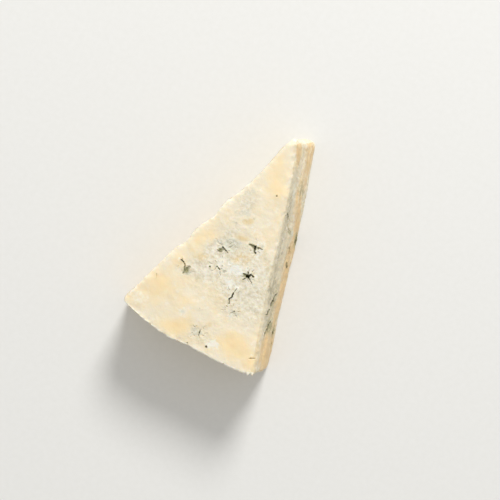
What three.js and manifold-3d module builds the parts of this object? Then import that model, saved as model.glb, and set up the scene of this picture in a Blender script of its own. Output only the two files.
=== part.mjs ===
// A wedge of blue cheese: one sector of a wheel, with two knife cuts, a strip of rind and a blunt tip.
// Millimetres, +Z up. The origin is the middle of the base, and +Y runs from the rind to the tip.

import * as THREE from "three";
import { ImprovedNoise } from "three/addons/math/ImprovedNoise.js";
import { mergeVertices } from "three/addons/utils/BufferGeometryUtils.js";
import Module from "manifold-3d";

const { clamp, degToRad, lerp, smoothstep } = THREE.MathUtils;

// Driving dimensions of the wedge
const WHEEL_RADIUS = 133; // wheel axis to rind
const WEDGE_HEIGHT = 40;
const WEDGE_ANGLE = degToRad(36);
const TIP_TURN = degToRad(28.6); // the blunt tip runs askew across the wedge, nearer the axis on the right
const TIP_AT_TOP = 4.2; // wheel axis to the tip's face, square to that face
const TIP_AT_BASE = 2.2;
const LEAN_AT_RIND = 7.6; // how far the right-hand cut runs out at the base, beside the rind
const LEAN_AT_TIP = 11.6; // the same beside the tip
const EDGE_ROUND = 1.6;
const TIP_ROUND = 3.6;
const TIP_ROUND_FROM = 0.85; // share of the length where the edges start to round more
const CORNER_ROUND = 3.2; // where the rind meets the left-hand cut
const CORNER_WIDTH = 0.08; // share of the width over which that corner's round fades out
const CORNER_LENGTH = 0.05; // the same along the length
const WIDEST_ROUND = 0.4; // a round's largest share of the width that it is cut from
const LENGTH = WHEEL_RADIUS - TIP_AT_TOP;

// Where the wheel's axis stands, with the origin in the middle of the base
const AXIS = new THREE.Vector3(-3.47, 65.8, 0);

// Shallow hollows along the left-hand cut, by their distance out from the wheel axis
const leftHollows = [
  { out: 40, reach: 20, depth: 2.1 },
  { out: 66.5, reach: 5.5, depth: 1.9 },
  { out: 86, reach: 4.5, depth: 1.5 },
];

// A shallow swell along the right-hand cut, by its distance out from the wheel axis
const rightSwell = { out: 35, reach: 26, rise: 0.8 };

// Shallow rises and dips round the rind, by their turn from the middle line
const rindWaves = [
  { turn: degToRad(2), reach: degToRad(5), rise: -1.5 },
  { turn: degToRad(16), reach: degToRad(5), rise: 1.7 },
];

// The base is dished by a hair, so that the wedge stands on three points and doesn't rock
const BASE_DISH = 0.02;
const feet = [
  { across: -34, out: 121 },
  { across: 40, out: 120 },
  { across: 8, out: 10 },
];

// Relief of the pressed curd, which lies in flat layers
const LUMP_SIZE = 17;
const LUMP_HEIGHT = 0.9;
const CRAG_SIZE = 7.5;
const CRAG_HEIGHT = 0.65;
const LAYER_FLATNESS = 0.5; // a lump's height for its width
const FLAT_FOOT = 4; // the relief fades out over this height above the base
const LEDGE_HEIGHT = 23; // a split between layers that shows as a step along both cuts
const LEDGE_DEPTH = 0.9;
const LEDGE_WAVE = 3;
const LEDGE_BLUR = 2.5;
const NOISE_SLICE = 0.5; // halfway between the noise's own grid points, where it is never flat

// Grid that carries the form, closer along the edges than in the middle of a face
const CELLS_ACROSS = 26;
const CELLS_ALONG = 42;
const CELLS_UP = 14;
const CELL_CROWDING = 0.55;

// Openings: each is cut by a pyramid that starts outside the face, so that it breaks through the lumps
const CUTTER_PROUD = 1.5;
const WAIST_SHARE = 0.17; // how far the sides stand out between the arms, as a share of the span
const NARROWEST_WAIST = 0.4;
const WIDEST_WAIST = 0.8;
const ARM_UNEVENNESS = 0.15; // share of the span by which arms differ
const GOLDEN = (Math.sqrt(5) - 1) / 2;
const GOLDEN_ANGLE = 2 * Math.PI * (1 - GOLDEN);

// Faces that carry openings. Places on the top are across the middle line and out from the wheel axis.
// Places on a cut are out from the wheel axis and up from the base.
const Face = Object.freeze({ TOP: "top", RIGHT_CUT: "right cut", LEFT_CUT: "left cut" });

// Torn mouths of the needle channels in the top, and cracks between them. An arm's span runs from the middle,
// and the turn of the first arm is in degrees from +X.
const topOpenings = [
  { across: -20.4, out: 94.0, arms: 2, span: 3.6, depth: 4, turn: -40 },
  { across: -4.6, out: 77.0, arms: 3, span: 2.9, depth: 4, turn: -5 },
  { across: 9.7, out: 67.4, arms: 3, span: 3.9, depth: 5, turn: 52 },
  { across: -2.2, out: 86.3, arms: 3, span: 2.0, depth: 3, turn: 75 },
  { across: 13.7, out: 83.0, arms: 5, span: 4.6, depth: 7, turn: 28 },
  { across: 11.0, out: 97.2, arms: 2, span: 5.6, depth: 5, turn: 87 },
  { across: 15.6, out: 103.6, arms: 2, span: 1.9, depth: 2, turn: 60 },
  { across: 4.9, out: 122.0, arms: 2, span: 2.2, depth: 3, turn: 100 },
  { across: -30.0, out: 106.5, arms: 2, span: 1.6, depth: 2, turn: 118 },
  { across: 35.8, out: 121.4, arms: 2, span: 2.4, depth: 2, turn: 28 },
].map((opening) => ({ face: Face.TOP, ...opening }));

// Splits between lumps of curd that the right-hand cut runs through. Their turn is from the way to the tip.
const rightOpenings = [
  { out: 22, up: 31, span: 2.6, depth: 2, turn: 15 },
  { out: 45.5, up: 29, span: 5.0, depth: 3, turn: 80 },
  { out: 57.5, up: 6, span: 3.2, depth: 3, turn: 10 },
  { out: 71.8, up: 8, span: 2.4, depth: 3, turn: -10 },
  { out: 96.5, up: 25, span: 8.0, depth: 5, turn: -52 },
  { out: 111, up: 24, span: 5.0, depth: 4, turn: -60 },
  { out: 114.5, up: 6, span: 2.8, depth: 2, turn: -15 },
].map((opening) => ({ face: Face.RIGHT_CUT, arms: 2, ...opening }));

// The left-hand cut has holes of the same kind, spread by golden steps so that no two line up
const LEFT_COUNT = 9;
const LEFT_OUT = [30, 122];
const LEFT_UP = [9, 33];
const LEFT_SPAN = [2.4, 4.6];
const LEFT_DEPTH = 4;
const LEFT_TURN = 30; // largest, either way
const leftOpenings = Array.from({ length: LEFT_COUNT }, (_, index) => ({
  face: Face.LEFT_CUT,
  arms: 2 + (index % 2),
  out: lerp(...LEFT_OUT, (index + 0.5) / LEFT_COUNT),
  up: lerp(...LEFT_UP, (index * GOLDEN) % 1),
  span: lerp(...LEFT_SPAN, (index * GOLDEN * GOLDEN) % 1),
  depth: LEFT_DEPTH,
  turn: LEFT_TURN * Math.sin(index),
}));

// Ragged threads that the knife pulled from the corner between the rind and the right-hand cut
const FLAKE_COUNT = 3;
const FLAKE_LENGTH = 3.2; // the first one's; each next one is a little longer
const FLAKE_GROWTH = 1;
const FLAKE_WIDTH = 1.5;
const FLAKE_SIDES = 5;
const FLAKE_SPACING = 1.7;
const FLAKE_DROP = 1.6; // below the top face
const FLAKE_INSET = 0.85; // how far the first one starts behind the corner
const FLAKE_STEP_BACK = 0.7; // how much further out each next one starts, round the rind
const FLAKE_SPREAD = degToRad(20);

// Falls smoothly from 1 at a distance of 0 to about a third at the reach.
function bell(distance, reach) {
  return Math.exp(-((distance / reach) ** 2));
}

// How far the left-hand cut is hollowed at a distance out from the wheel axis.
function hollowAt(radius) {
  return leftHollows.reduce((sum, { out, reach, depth }) => sum + depth * bell(radius - out, reach), 0);
}

// How far out from the wheel axis the rind lies, at a share across the wedge.
function rindRadius(u) {
  const angle = (u - 0.5) * WEDGE_ANGLE;
  const addWave = (sum, { turn, reach, rise }) => sum + rise * bell(angle - turn, reach);
  return rindWaves.reduce(addWave, WHEEL_RADIUS);
}

// How far out from the wheel axis the tip's face lies, at a share across the wedge and up it.
function tipRadius(u, w) {
  const angle = (u - 0.5) * WEDGE_ANGLE;
  const sideways = u * (1 - w) * LEAN_AT_TIP * Math.sin(TIP_TURN);
  return (lerp(TIP_AT_BASE, TIP_AT_TOP, w) - sideways) / Math.cos(TIP_TURN - angle);
}

// A point of the wedge's plain form: u across from left to right, v from rind to tip, w from base to top.
function formPoint(u, v, w) {
  const angle = (u - 0.5) * WEDGE_ANGLE;
  const radius = lerp(rindRadius(u), tipRadius(u, w), v);
  const lean = u * (1 - w) * lerp(LEAN_AT_RIND, LEAN_AT_TIP, v);
  const hollow = (1 - u) * hollowAt(radius);
  const swell = u * rightSwell.rise * bell(radius - rightSwell.out, rightSwell.reach);
  const x = radius * Math.sin(angle) + lean + hollow + swell;
  const y = -radius * Math.cos(angle);
  const backOnWheel = lerp(radius / Math.hypot(x, y), 1, v); // a leaning cut leaves the rind on the wheel
  return new THREE.Vector3(x * backOnWheel, y * backOnWheel, w * WEDGE_HEIGHT);
}

// The same point with the form's edges rounded, worked out on the straight block that the form is bent from.
function roundedPoint(u, v, w) {
  const width = lerp(WHEEL_RADIUS, TIP_AT_TOP, v) * WEDGE_ANGLE + (1 - w) * LEAN_AT_RIND;
  const size = new THREE.Vector3(width, LENGTH, WEDGE_HEIGHT);
  const inCorner = (1 - smoothstep(u, 0, CORNER_WIDTH)) * (1 - smoothstep(v, 0, CORNER_LENGTH));
  const atRind = lerp(EDGE_ROUND, CORNER_ROUND, inCorner);
  const wanted = lerp(atRind, TIP_ROUND, smoothstep(v, TIP_ROUND_FROM, 1));
  const round = Math.min(wanted, WIDEST_ROUND * width);
  const point = new THREE.Vector3(u, v, w).multiply(size);
  const core = point.clone().clamp(
    new THREE.Vector3(round, round, round),
    size.clone().subScalar(round),
  );
  const outward = point.clone().sub(core).normalize();
  point.copy(core).addScaledVector(outward, round).divide(size);
  return formPoint(point.x, point.y, point.z);
}

// Moves the even spacing of a grid towards both ends of its range.
function crowdEnds(t) {
  return t - (CELL_CROWDING * Math.sin(2 * Math.PI * t)) / (2 * Math.PI);
}

const noise = new ImprovedNoise();

// Noise of a given size, flattened like the layers of curd.
function layeredNoise({ x, y, z }, size) {
  return noise.noise(x / size, y / size, z / (size * LAYER_FLATNESS));
}

// Height of the curd's relief at a point, along the surface's normal.
function relief(point, normal) {
  const wave = noise.noise(point.y / LUMP_SIZE, point.x / LUMP_SIZE, NOISE_SLICE);
  const belowLedge = LEDGE_HEIGHT + LEDGE_WAVE * wave - point.z;
  const ledge = smoothstep(belowLedge, -LEDGE_BLUR, LEDGE_BLUR) * Math.abs(normal.x) * LEDGE_DEPTH;
  const lumps = LUMP_HEIGHT * layeredNoise(point, LUMP_SIZE);
  const crags = CRAG_HEIGHT * layeredNoise(point, CRAG_SIZE);
  return smoothstep(point.z, 0, FLAT_FOOT) * (lumps + crags + ledge);
}

// Lifts the base by a hair, all but the grid points nearest to the feet.
function dishBase(position) {
  const base = [...Array(position.count).keys()].filter((i) => position.getZ(i) < BASE_DISH);
  const footings = feet.map(({ across, out }) => {
    const away = (i) => Math.hypot(position.getX(i) - across, position.getY(i) + out);
    return base.reduce((nearest, i) => (away(i) < away(nearest) ? i : nearest));
  });
  for (const i of base) {
    position.setZ(i, footings.includes(i) ? 0 : BASE_DISH);
  }
}

// The wedge before its openings are torn: a grid bent to the form, with the relief raised on it.
function wedgeGeometry() {
  const block = new THREE.BoxGeometry(1, 1, 1, CELLS_ACROSS, CELLS_ALONG, CELLS_UP).translate(0.5, 0.5, 0.5);
  block.deleteAttribute("normal");
  block.deleteAttribute("uv");
  const geometry = mergeVertices(block);
  const position = geometry.getAttribute("position");
  const point = new THREE.Vector3();
  for (let i = 0; i < position.count; i++) {
    point.fromBufferAttribute(position, i);
    const formed = roundedPoint(crowdEnds(point.x), crowdEnds(point.y), crowdEnds(point.z));
    position.setXYZ(i, formed.x, formed.y, formed.z);
  }
  geometry.computeVertexNormals();
  const normals = geometry.getAttribute("normal");
  const normal = new THREE.Vector3();
  for (let i = 0; i < position.count; i++) {
    point.fromBufferAttribute(position, i);
    normal.fromBufferAttribute(normals, i);
    point.addScaledVector(normal, relief(point, normal));
    position.setXYZ(i, point.x, point.y, point.z);
  }
  dishBase(position);
  return geometry;
}

// Where an opening lies on its face: the point, the way out of the face and the way its first arm runs.
function seatOf({ face, across, out, up }) {
  if (face === Face.TOP) {
    return {
      point: new THREE.Vector3(across, -out, WEDGE_HEIGHT),
      outward: new THREE.Vector3(0, 0, 1),
      along: new THREE.Vector3(1, 0, 0),
    };
  }
  const side = face === Face.RIGHT_CUT ? 1 : 0;
  const w = up / WEDGE_HEIGHT;
  const rind = rindRadius(side);
  const v = (rind - out) / (rind - tipRadius(side, w));
  const step = 0.01;
  const point = formPoint(side, v, w);
  const along = formPoint(side, v + step, w).sub(point).normalize();
  const upward = formPoint(side, v, w + step).sub(point).normalize();
  const outward = along.clone().cross(upward).normalize();
  return { point, along, outward: side ? outward : outward.negate() };
}

// A star-shaped pyramid, sunk point first into its face: arms reach out by turns with a narrow waist.
function openingGeometry(opening) {
  const { arms, span, depth, turn } = opening;
  const height = depth + CUTTER_PROUD;
  const widening = height / depth;
  const waist = clamp(WAIST_SHARE * span, NARROWEST_WAIST, WIDEST_WAIST);
  const sides = 2 * arms;
  const geometry = new THREE.ConeGeometry(1, height, sides);
  const position = geometry.getAttribute("position");
  for (let i = 0; i < position.count; i++) {
    const x = position.getX(i);
    const z = position.getZ(i);
    const corner = Math.round((Math.atan2(x, z) / (2 * Math.PI)) * sides + sides) % sides;
    const uneven = 1 - ARM_UNEVENNESS * (1 - Math.sin(GOLDEN_ANGLE * corner + span));
    const reach = widening * (corner % 2 ? waist : span * uneven);
    position.setX(i, x * reach);
    position.setZ(i, z * reach);
  }
  const { point, outward, along } = seatOf(opening);
  const inward = outward.clone().negate();
  const seat = new THREE.Matrix4()
    .makeBasis(along, inward, along.clone().cross(inward))
    .setPosition(point.addScaledVector(outward, CUTTER_PROUD - height / 2));
  return geometry.rotateY(Math.PI / 2 - degToRad(turn)).applyMatrix4(seat);
}

// One ragged thread at the rind's right-hand corner.
function flakeGeometry(index) {
  const corner = formPoint(1, 0, 1);
  const geometry = new THREE.ConeGeometry(FLAKE_WIDTH, FLAKE_LENGTH + FLAKE_GROWTH * index, FLAKE_SIDES);
  geometry.rotateX(Math.PI).rotateZ(FLAKE_SPREAD * (index - 1));
  return geometry.translate(
    corner.x - FLAKE_WIDTH - FLAKE_SPACING * index,
    corner.y + FLAKE_INSET - FLAKE_STEP_BACK * index,
    corner.z - FLAKE_DROP,
  );
}

const wasm = await Module();
wasm.setup();

// A closed geometry as a solid that can be cut and joined.
function solidFrom(geometry) {
  geometry.deleteAttribute("normal");
  geometry.deleteAttribute("uv");
  const merged = mergeVertices(geometry);
  return new wasm.Manifold(
    new wasm.Mesh({
      numProp: 3,
      vertProperties: merged.getAttribute("position").array,
      triVerts: new Uint32Array(merged.index.array),
    }),
  );
}

// A solid as a geometry.
function geometryFrom(solid) {
  const mesh = solid.getMesh();
  const geometry = new THREE.BufferGeometry();
  geometry.setAttribute("position", new THREE.BufferAttribute(mesh.vertProperties, 3));
  geometry.setIndex(new THREE.BufferAttribute(mesh.triVerts, 1));
  geometry.computeVertexNormals();
  return geometry;
}

let solid = solidFrom(wedgeGeometry());
for (let index = 0; index < FLAKE_COUNT; index++) {
  solid = solid.add(solidFrom(flakeGeometry(index)));
}
for (const opening of [...topOpenings, ...rightOpenings, ...leftOpenings]) {
  solid = solid.subtract(solidFrom(openingGeometry(opening)));
}

const paste = new THREE.MeshStandardMaterial({ color: 0xeadcb8, roughness: 0.55, metalness: 0 });
const cheeseWedge = new THREE.Mesh(geometryFrom(solid), paste);
cheeseWedge.name = "cheese_wedge";
cheeseWedge.position.copy(AXIS);

const wedge = new THREE.Group();
wedge.add(cheeseWedge);

export default wedge;
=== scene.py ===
"""A wedge of blue cheese, dressed for its portrait.

The wedge is cut out of a whole wheel by the knife's own planes, skinned with an even grid, roughened like
pressed curd, torn open where needles and layers parted, and coloured by what grew and dried on it.
Sizes are millimetres about the wheel's axis. Meshes are in metres, in the part's own frame.
"""

import logging
import math
from dataclasses import dataclass
from enum import Enum

import bpy
import numpy as np
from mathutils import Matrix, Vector, noise


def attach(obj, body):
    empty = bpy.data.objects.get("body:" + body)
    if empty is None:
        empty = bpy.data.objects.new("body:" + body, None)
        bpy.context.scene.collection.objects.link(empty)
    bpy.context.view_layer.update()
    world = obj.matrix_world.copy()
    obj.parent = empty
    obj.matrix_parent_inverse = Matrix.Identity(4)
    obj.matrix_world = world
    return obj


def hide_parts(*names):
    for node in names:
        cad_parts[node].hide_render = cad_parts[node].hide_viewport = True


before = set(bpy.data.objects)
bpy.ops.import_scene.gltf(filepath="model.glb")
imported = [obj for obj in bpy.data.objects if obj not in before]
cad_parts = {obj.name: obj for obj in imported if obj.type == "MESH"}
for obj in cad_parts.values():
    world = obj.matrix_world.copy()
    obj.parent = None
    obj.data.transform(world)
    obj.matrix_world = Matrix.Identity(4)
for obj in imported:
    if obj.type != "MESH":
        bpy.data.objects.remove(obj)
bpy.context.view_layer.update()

NODE = "cheese_wedge"
BODY = "root"

MM = 0.001
AXIS = Vector((-3.47, 65.8, 0.0))  # where the wheel's axis stands in the part's frame
GOLDEN = (math.sqrt(5) - 1) / 2
RAG_SEED = 1  # the noise that frays torn edges starts here
LAYER_STEP = Vector((0.013, 0.029, 0.017))  # metres by which each layer of relief shifts its noise
FAINT = 0.01  # a vertex that takes a smaller part than this is left out
SAME_WAY = 0.999  # two ways whose dot product is over this are taken as one
DOT_LENGTH = 0.01
LEAST_WIDTH = 1e-6  # keeps a width that something is divided by above 0

log = logging.getLogger("cheese")

Pair = tuple[float, float]


class Face(Enum):
    """The sides of the wedge."""

    TOP = "top"
    BASE = "base"
    LEFT_CUT = "left cut"
    RIGHT_CUT = "right cut"
    RIND = "rind"
    TIP = "tip"


CUTS = (Face.LEFT_CUT, Face.RIGHT_CUT)
SKIN = (Face.TOP, Face.LEFT_CUT, Face.RIGHT_CUT, Face.RIND, Face.TIP)


class Zone(Enum):
    """Stretches of the surface that differ in how rough they are."""

    ALL = "all over"
    OPEN = "where the curd is ripe and open"
    DRAGGED = "where the knife dragged"
    EDGES = "along the edges"
    TORN = "round the openings"


class Grain(Enum):
    """Kinds of noise that raise the surface."""

    SOFT = "ORIGINAL_PERLIN"
    BROKEN = "VORONOI_F1"


class Pattern(Enum):
    """Kinds of marks that colour the surface."""

    CLOUDS = "clouds"
    VEINS = "veins"


def to_metres(point: Vector) -> Vector:
    """Turns a place about the wheel's axis into the part's frame."""
    return (point + AXIS) * MM


def activate(piece: bpy.types.Object) -> None:
    """Makes one object the active one, and the only one selected.

    Args:
        piece: the object.
    """
    bpy.ops.object.select_all(action="DESELECT")
    piece.select_set(True)
    bpy.context.view_layer.objects.active = piece


def apply_modifier(piece: bpy.types.Object, kind: str, **settings: object) -> None:
    """Adds one modifier to a piece and applies it.

    Args:
        piece: the mesh object to change.
        kind: Blender's name for the modifier.
        **settings: the modifier's own settings.
    """
    modifier = piece.modifiers.new(kind.title(), kind)
    for name, value in settings.items():
        setattr(modifier, name, value)
    activate(piece)
    bpy.ops.object.modifier_apply(modifier=modifier.name)


def select_parts(piece: bpy.types.Object, kind: str, chosen: np.ndarray) -> None:
    """Goes into edit mode with only some faces or edges of a piece selected.

    Args:
        piece: the mesh object.
        kind: FACE or EDGE.
        chosen: for each face or edge, whether it is selected.
    """
    activate(piece)
    bpy.ops.object.mode_set(mode="EDIT")
    bpy.ops.mesh.select_mode(type=kind)
    bpy.ops.mesh.select_all(action="DESELECT")
    bpy.ops.object.mode_set(mode="OBJECT")
    parts = piece.data.polygons if kind == "FACE" else piece.data.edges
    parts.foreach_set("select", chosen)
    bpy.ops.object.mode_set(mode="EDIT")


def read_points(piece: bpy.types.Object) -> np.ndarray:
    """Reads where a piece's vertices are.

    Args:
        piece: the mesh object.

    Returns:
        One place for each vertex, in millimetres about the wheel's axis.
    """
    flat = np.empty(3 * len(piece.data.vertices), np.float32)
    piece.data.vertices.foreach_get("co", flat)
    return flat.reshape(-1, 3) / MM - np.array(AXIS)


def read_faces(piece: bpy.types.Object, what: str) -> np.ndarray:
    """Reads a direction or place of each of a piece's faces.

    Args:
        piece: the mesh object.
        what: center or normal.

    Returns:
        One row for each face, as Blender holds it.
    """
    flat = np.empty(3 * len(piece.data.polygons), np.float32)
    piece.data.polygons.foreach_get(what, flat)
    return flat.reshape(-1, 3)


def write_points(piece: bpy.types.Object, points: np.ndarray) -> None:
    """Moves a piece's vertices.

    Args:
        piece: the mesh object to change.
        points: one place for each vertex, in millimetres about the wheel's axis.
    """
    metres = (points + np.array(AXIS)) * MM
    piece.data.vertices.foreach_set("co", metres.astype(np.float32).ravel())
    piece.data.update()


def edges_between(piece: bpy.types.Object, chosen: np.ndarray) -> np.ndarray:
    """Tells which of a piece's edges run between chosen vertices.

    Args:
        piece: the mesh object.
        chosen: for each vertex, whether it is chosen.

    Returns:
        For each edge, whether both its ends are chosen.
    """
    ends = np.empty(2 * len(piece.data.edges), np.int32)
    piece.data.edges.foreach_get("vertices", ends)
    return chosen[ends.reshape(-1, 2)].all(axis=1)


def smoothstep(low: float, high: float, value: np.ndarray) -> np.ndarray:
    """Rises smoothly from 0 at low to 1 at high."""
    share = np.clip((value - low) / (high - low), 0.0, 1.0)
    return share * share * (3.0 - 2.0 * share)


def bell(value: np.ndarray, reach: float) -> np.ndarray:
    """Falls smoothly from 1 at a value of 0 to about a third at the reach, on both sides."""
    return np.exp(-((value / reach) ** 2))


def between(limits: Pair, share: float | np.ndarray) -> float | np.ndarray:
    """Gives what lies at a share of the way from one limit to the other."""
    low, high = limits
    return low + (high - low) * share


def golden(index: int, power: int = 1, start: float = 0.0) -> float:
    """Gives a share from 0 to 1 by golden steps, so that no two indices line up."""
    return (index * GOLDEN**power + start) % 1


def out_from_axis(points: np.ndarray) -> np.ndarray:
    """Gives how far each point lies from the wheel's axis."""
    return np.hypot(points[:, 0], points[:, 1])


def turn_round_axis(points: np.ndarray) -> np.ndarray:
    """Gives each point's turn round the wheel's axis from the wedge's middle line, in radians."""
    return np.arctan2(points[:, 0], -points[:, 1])


def noise_at(points: np.ndarray, size: float, seed: float) -> np.ndarray:
    """Gives soft noise from about -1 to 1 at each point.

    Args:
        points: places in millimetres.
        size: how wide one lump of the noise is, in millimetres.
        seed: shifts the noise, so that two uses differ.

    Returns:
        One value for each point.
    """
    return np.array([noise.noise(Vector(point)) for point in points / size + seed])


@dataclass(frozen=True)
class CutWave:
    """A shallow rise or dip along a knife cut, by its distance out from the wheel's axis."""

    out: float
    reach: float
    rise: float


@dataclass(frozen=True)
class RindWave:
    """A shallow rise or dip round the rind, by its turn in degrees from the middle line."""

    turn: float
    reach: float
    rise: float


@dataclass(frozen=True)
class WedgeForm:
    """The plain form: one sector of a wheel, with a right-hand cut that leans and a blunt, askew tip."""

    wheel_radius: float = 133.0
    height: float = 40.0
    angle: float = math.radians(36.0)
    tip_turn: float = math.radians(28.6)
    tip_at_top: float = 5.4
    tip_at_base: float = 2.2
    lean_at_rind: float = 7.6
    lean_at_tip: float = 11.6
    left_tuck: float = 1.3
    ledge_height: float = 22.0
    ledge_depth: float = 0.9
    ledge_left_share: float = 0.3
    ledge_wave: float = 3.0
    ledge_wave_size: float = 17.0
    ledge_blur: float = 1.4
    ledge_foot: float = 4.0
    ledge_seed: float = 0.5
    edge_round: float = 1.3
    edge_blend: float = 1.2
    tip_round: float = 4.4
    corner_round: float = 3.2
    corner_reach: float = 0.5
    brow_round: float = 3.4
    brow_reach: float = 0.1
    brink_height: float = 1.1
    brink_reach: float = 1.1
    edge_steps: int = 4
    sharp_from: float = math.radians(30.0)
    rim_facets: int = 120
    skin_cell: float = 0.68
    skin_smoothing: float = 0.5
    smooth_passes: int = 4
    base_reach: float = 0.02
    base_share: float = 0.12
    left_waves: tuple[CutWave, ...] = (
        CutWave(40.0, 20.0, -2.1),
        CutWave(66.5, 5.5, -1.9),
        CutWave(86.0, 4.5, -1.5),
    )
    right_waves: tuple[CutWave, ...] = (CutWave(35.0, 26.0, 0.8),)
    rind_waves: tuple[RindWave, ...] = (RindWave(2.0, 5.0, -1.5), RindWave(16.0, 5.0, 1.7))

    @property
    def mean_lean(self) -> float:
        """How far the straight knife stroke of the right-hand cut runs out at the base."""
        return (self.lean_at_rind + self.lean_at_tip) / 2

    @property
    def tip_way(self) -> Vector:
        """The way that the blunt tip faces, seen from above."""
        return Vector((-math.sin(self.tip_turn), math.cos(self.tip_turn), 0))

    def knife_planes(self) -> dict[Face, tuple[Vector, Vector]]:
        """Gives a point on each knife stroke and the way out of the wedge there.

        Returns:
            For each of the three cut faces, a place about the wheel's axis and an outward normal.
        """
        across, along = math.cos(self.angle / 2), math.sin(self.angle / 2)
        right = Vector((across, along, self.mean_lean * across / self.height))
        tip = self.tip_way + Vector((0, 0, (self.tip_at_top - self.tip_at_base) / self.height))
        return {
            Face.LEFT_CUT: (Vector((0, 0, 0)), Vector((-across, along, 0))),
            Face.RIGHT_CUT: (Vector((self.mean_lean, 0, 0)), right.normalized()),
            Face.TIP: (-self.tip_at_base * self.tip_way, tip.normalized()),
        }

    def lean(self, points: np.ndarray) -> np.ndarray:
        """Gives how far the right-hand cut has run out beside each point.

        Args:
            points: places in millimetres.

        Returns:
            One distance in millimetres for each point, 0 at the top.
        """
        length = self.wheel_radius - self.tip_at_top
        share = np.clip((self.wheel_radius - out_from_axis(points)) / length, 0, 1)
        at_base = between((self.lean_at_rind, self.lean_at_tip), share)
        return at_base * (1 - points[:, 2] / self.height)

    def tuck(self, points: np.ndarray) -> np.ndarray:
        """Gives how far the left-hand cut has run in under the top beside each point."""
        return self.left_tuck * (1 - points[:, 2] / self.height)

    def cut_rise(self, waves: tuple[CutWave, ...], points: np.ndarray) -> np.ndarray:
        """Gives how far a knife cut with these waves stands out beside each point."""
        out = out_from_axis(points)
        return sum(wave.rise * bell(out - wave.out, wave.reach) for wave in waves)

    def rind_rise(self, points: np.ndarray) -> np.ndarray:
        """Gives how far the rind stands out from the wheel's own round beside each point."""
        turn = np.degrees(turn_round_axis(points))
        return sum(wave.rise * bell(turn - wave.turn, wave.reach) for wave in self.rind_waves)

    def out_along_cut(self, points: np.ndarray) -> np.ndarray:
        """Gives how far out along either knife cut each point lies."""
        return -points[:, 1] / math.cos(self.angle / 2)

    def above_ledge(self, points: np.ndarray) -> np.ndarray:
        """Gives how far each point lies above the wavy split between two layers of curd.

        Args:
            points: places in millimetres.

        Returns:
            One height in millimetres for each point, below 0 under the split.
        """
        level = np.column_stack([points[:, :2], np.zeros(len(points))])
        sway = self.ledge_wave * noise_at(level, self.ledge_wave_size, self.ledge_seed)
        return points[:, 2] - self.ledge_height - sway

    def depths(self, points: np.ndarray) -> dict[Face, np.ndarray]:
        """Gives how deep each point lies under each face.

        Args:
            points: places in millimetres.

        Returns:
            For each face, one depth in millimetres for each point.
        """
        x, y, z = points.T
        across, along = math.cos(self.angle / 2), math.sin(self.angle / 2)
        left = self.cut_rise(self.left_waves, points) - self.tuck(points)
        right = self.cut_rise(self.right_waves, points) + self.lean(points)
        tip = between((self.tip_at_base, self.tip_at_top), z / self.height)
        return {
            Face.TOP: self.height - z,
            Face.BASE: z,
            Face.LEFT_CUT: (left + x) * across - y * along,
            Face.RIGHT_CUT: (right - x) * across - y * along,
            Face.RIND: self.wheel_radius + self.rind_rise(points) - out_from_axis(points),
            Face.TIP: -(x * self.tip_way.x + y * self.tip_way.y) - tip,
        }

    def face_weights(self, points: np.ndarray) -> dict[Face, np.ndarray]:
        """Gives how much each point belongs to each face.

        Args:
            points: places on the skin, in millimetres.

        Returns:
            Weights for each face, which add up to 1 at every point.
        """
        nearness = {
            face: np.exp(-np.clip(depth, 0, self.height) / self.edge_blend)
            for face, depth in self.depths(points).items()
        }
        total = sum(nearness.values())
        return {face: near / total for face, near in nearness.items()}

    def cut_from_wheel(self, name: str) -> bpy.types.Object:
        """Makes a whole wheel, cuts the wedge out of it and rounds its edges.

        Args:
            name: what the piece is called.

        Returns:
            The wedge, still with large flat faces.
        """
        bpy.ops.object.select_all(action="DESELECT")
        bpy.ops.mesh.primitive_cylinder_add(
            vertices=self.rim_facets,
            radius=self.wheel_radius * MM,
            depth=self.height * MM,
            location=to_metres(Vector((0, 0, self.height / 2))),
        )
        piece = bpy.context.active_object
        piece.name = piece.data.name = name
        bpy.ops.object.transform_apply(location=True, rotation=True, scale=True)
        bpy.ops.object.mode_set(mode="EDIT")
        planes = self.knife_planes()
        for point, outward in planes.values():
            bpy.ops.mesh.select_all(action="SELECT")
            bpy.ops.mesh.bisect(
                plane_co=to_metres(point), plane_no=outward, use_fill=True, clear_outer=True
            )
        bpy.ops.object.mode_set(mode="OBJECT")
        facing = read_faces(piece, "normal") @ np.array(planes[Face.TIP][1])
        select_parts(piece, "FACE", facing > SAME_WAY)
        bpy.ops.mesh.region_to_loop()
        self.round_selected(self.tip_round)
        select_parts(piece, "EDGE", self.right_brow(piece))
        self.round_selected(self.brow_round)
        select_parts(piece, "EDGE", self.left_corner(piece))
        self.round_selected(self.corner_round)
        select_parts(piece, "EDGE", np.zeros(len(piece.data.edges), bool))
        bpy.ops.mesh.edges_select_sharp(sharpness=self.sharp_from)
        self.round_selected(self.edge_round)
        return piece

    def round_selected(self, reach: float) -> None:
        """Bevels the selected edges as far in as they reach, and leaves edit mode."""
        bpy.ops.mesh.bevel(offset=reach * MM, segments=self.edge_steps, affect="EDGES")
        bpy.ops.object.mode_set(mode="OBJECT")

    def left_corner(self, piece: bpy.types.Object) -> np.ndarray:
        """Finds the upright edge where the rind meets the left-hand cut.

        Args:
            piece: the wedge with large flat faces.

        Returns:
            For each of its edges, whether it is that one.
        """
        corner = -self.wheel_radius * np.array((math.sin(self.angle / 2), math.cos(self.angle / 2)))
        away = np.hypot(*(read_points(piece)[:, :2] - corner).T)
        return edges_between(piece, away < self.corner_reach)

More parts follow.
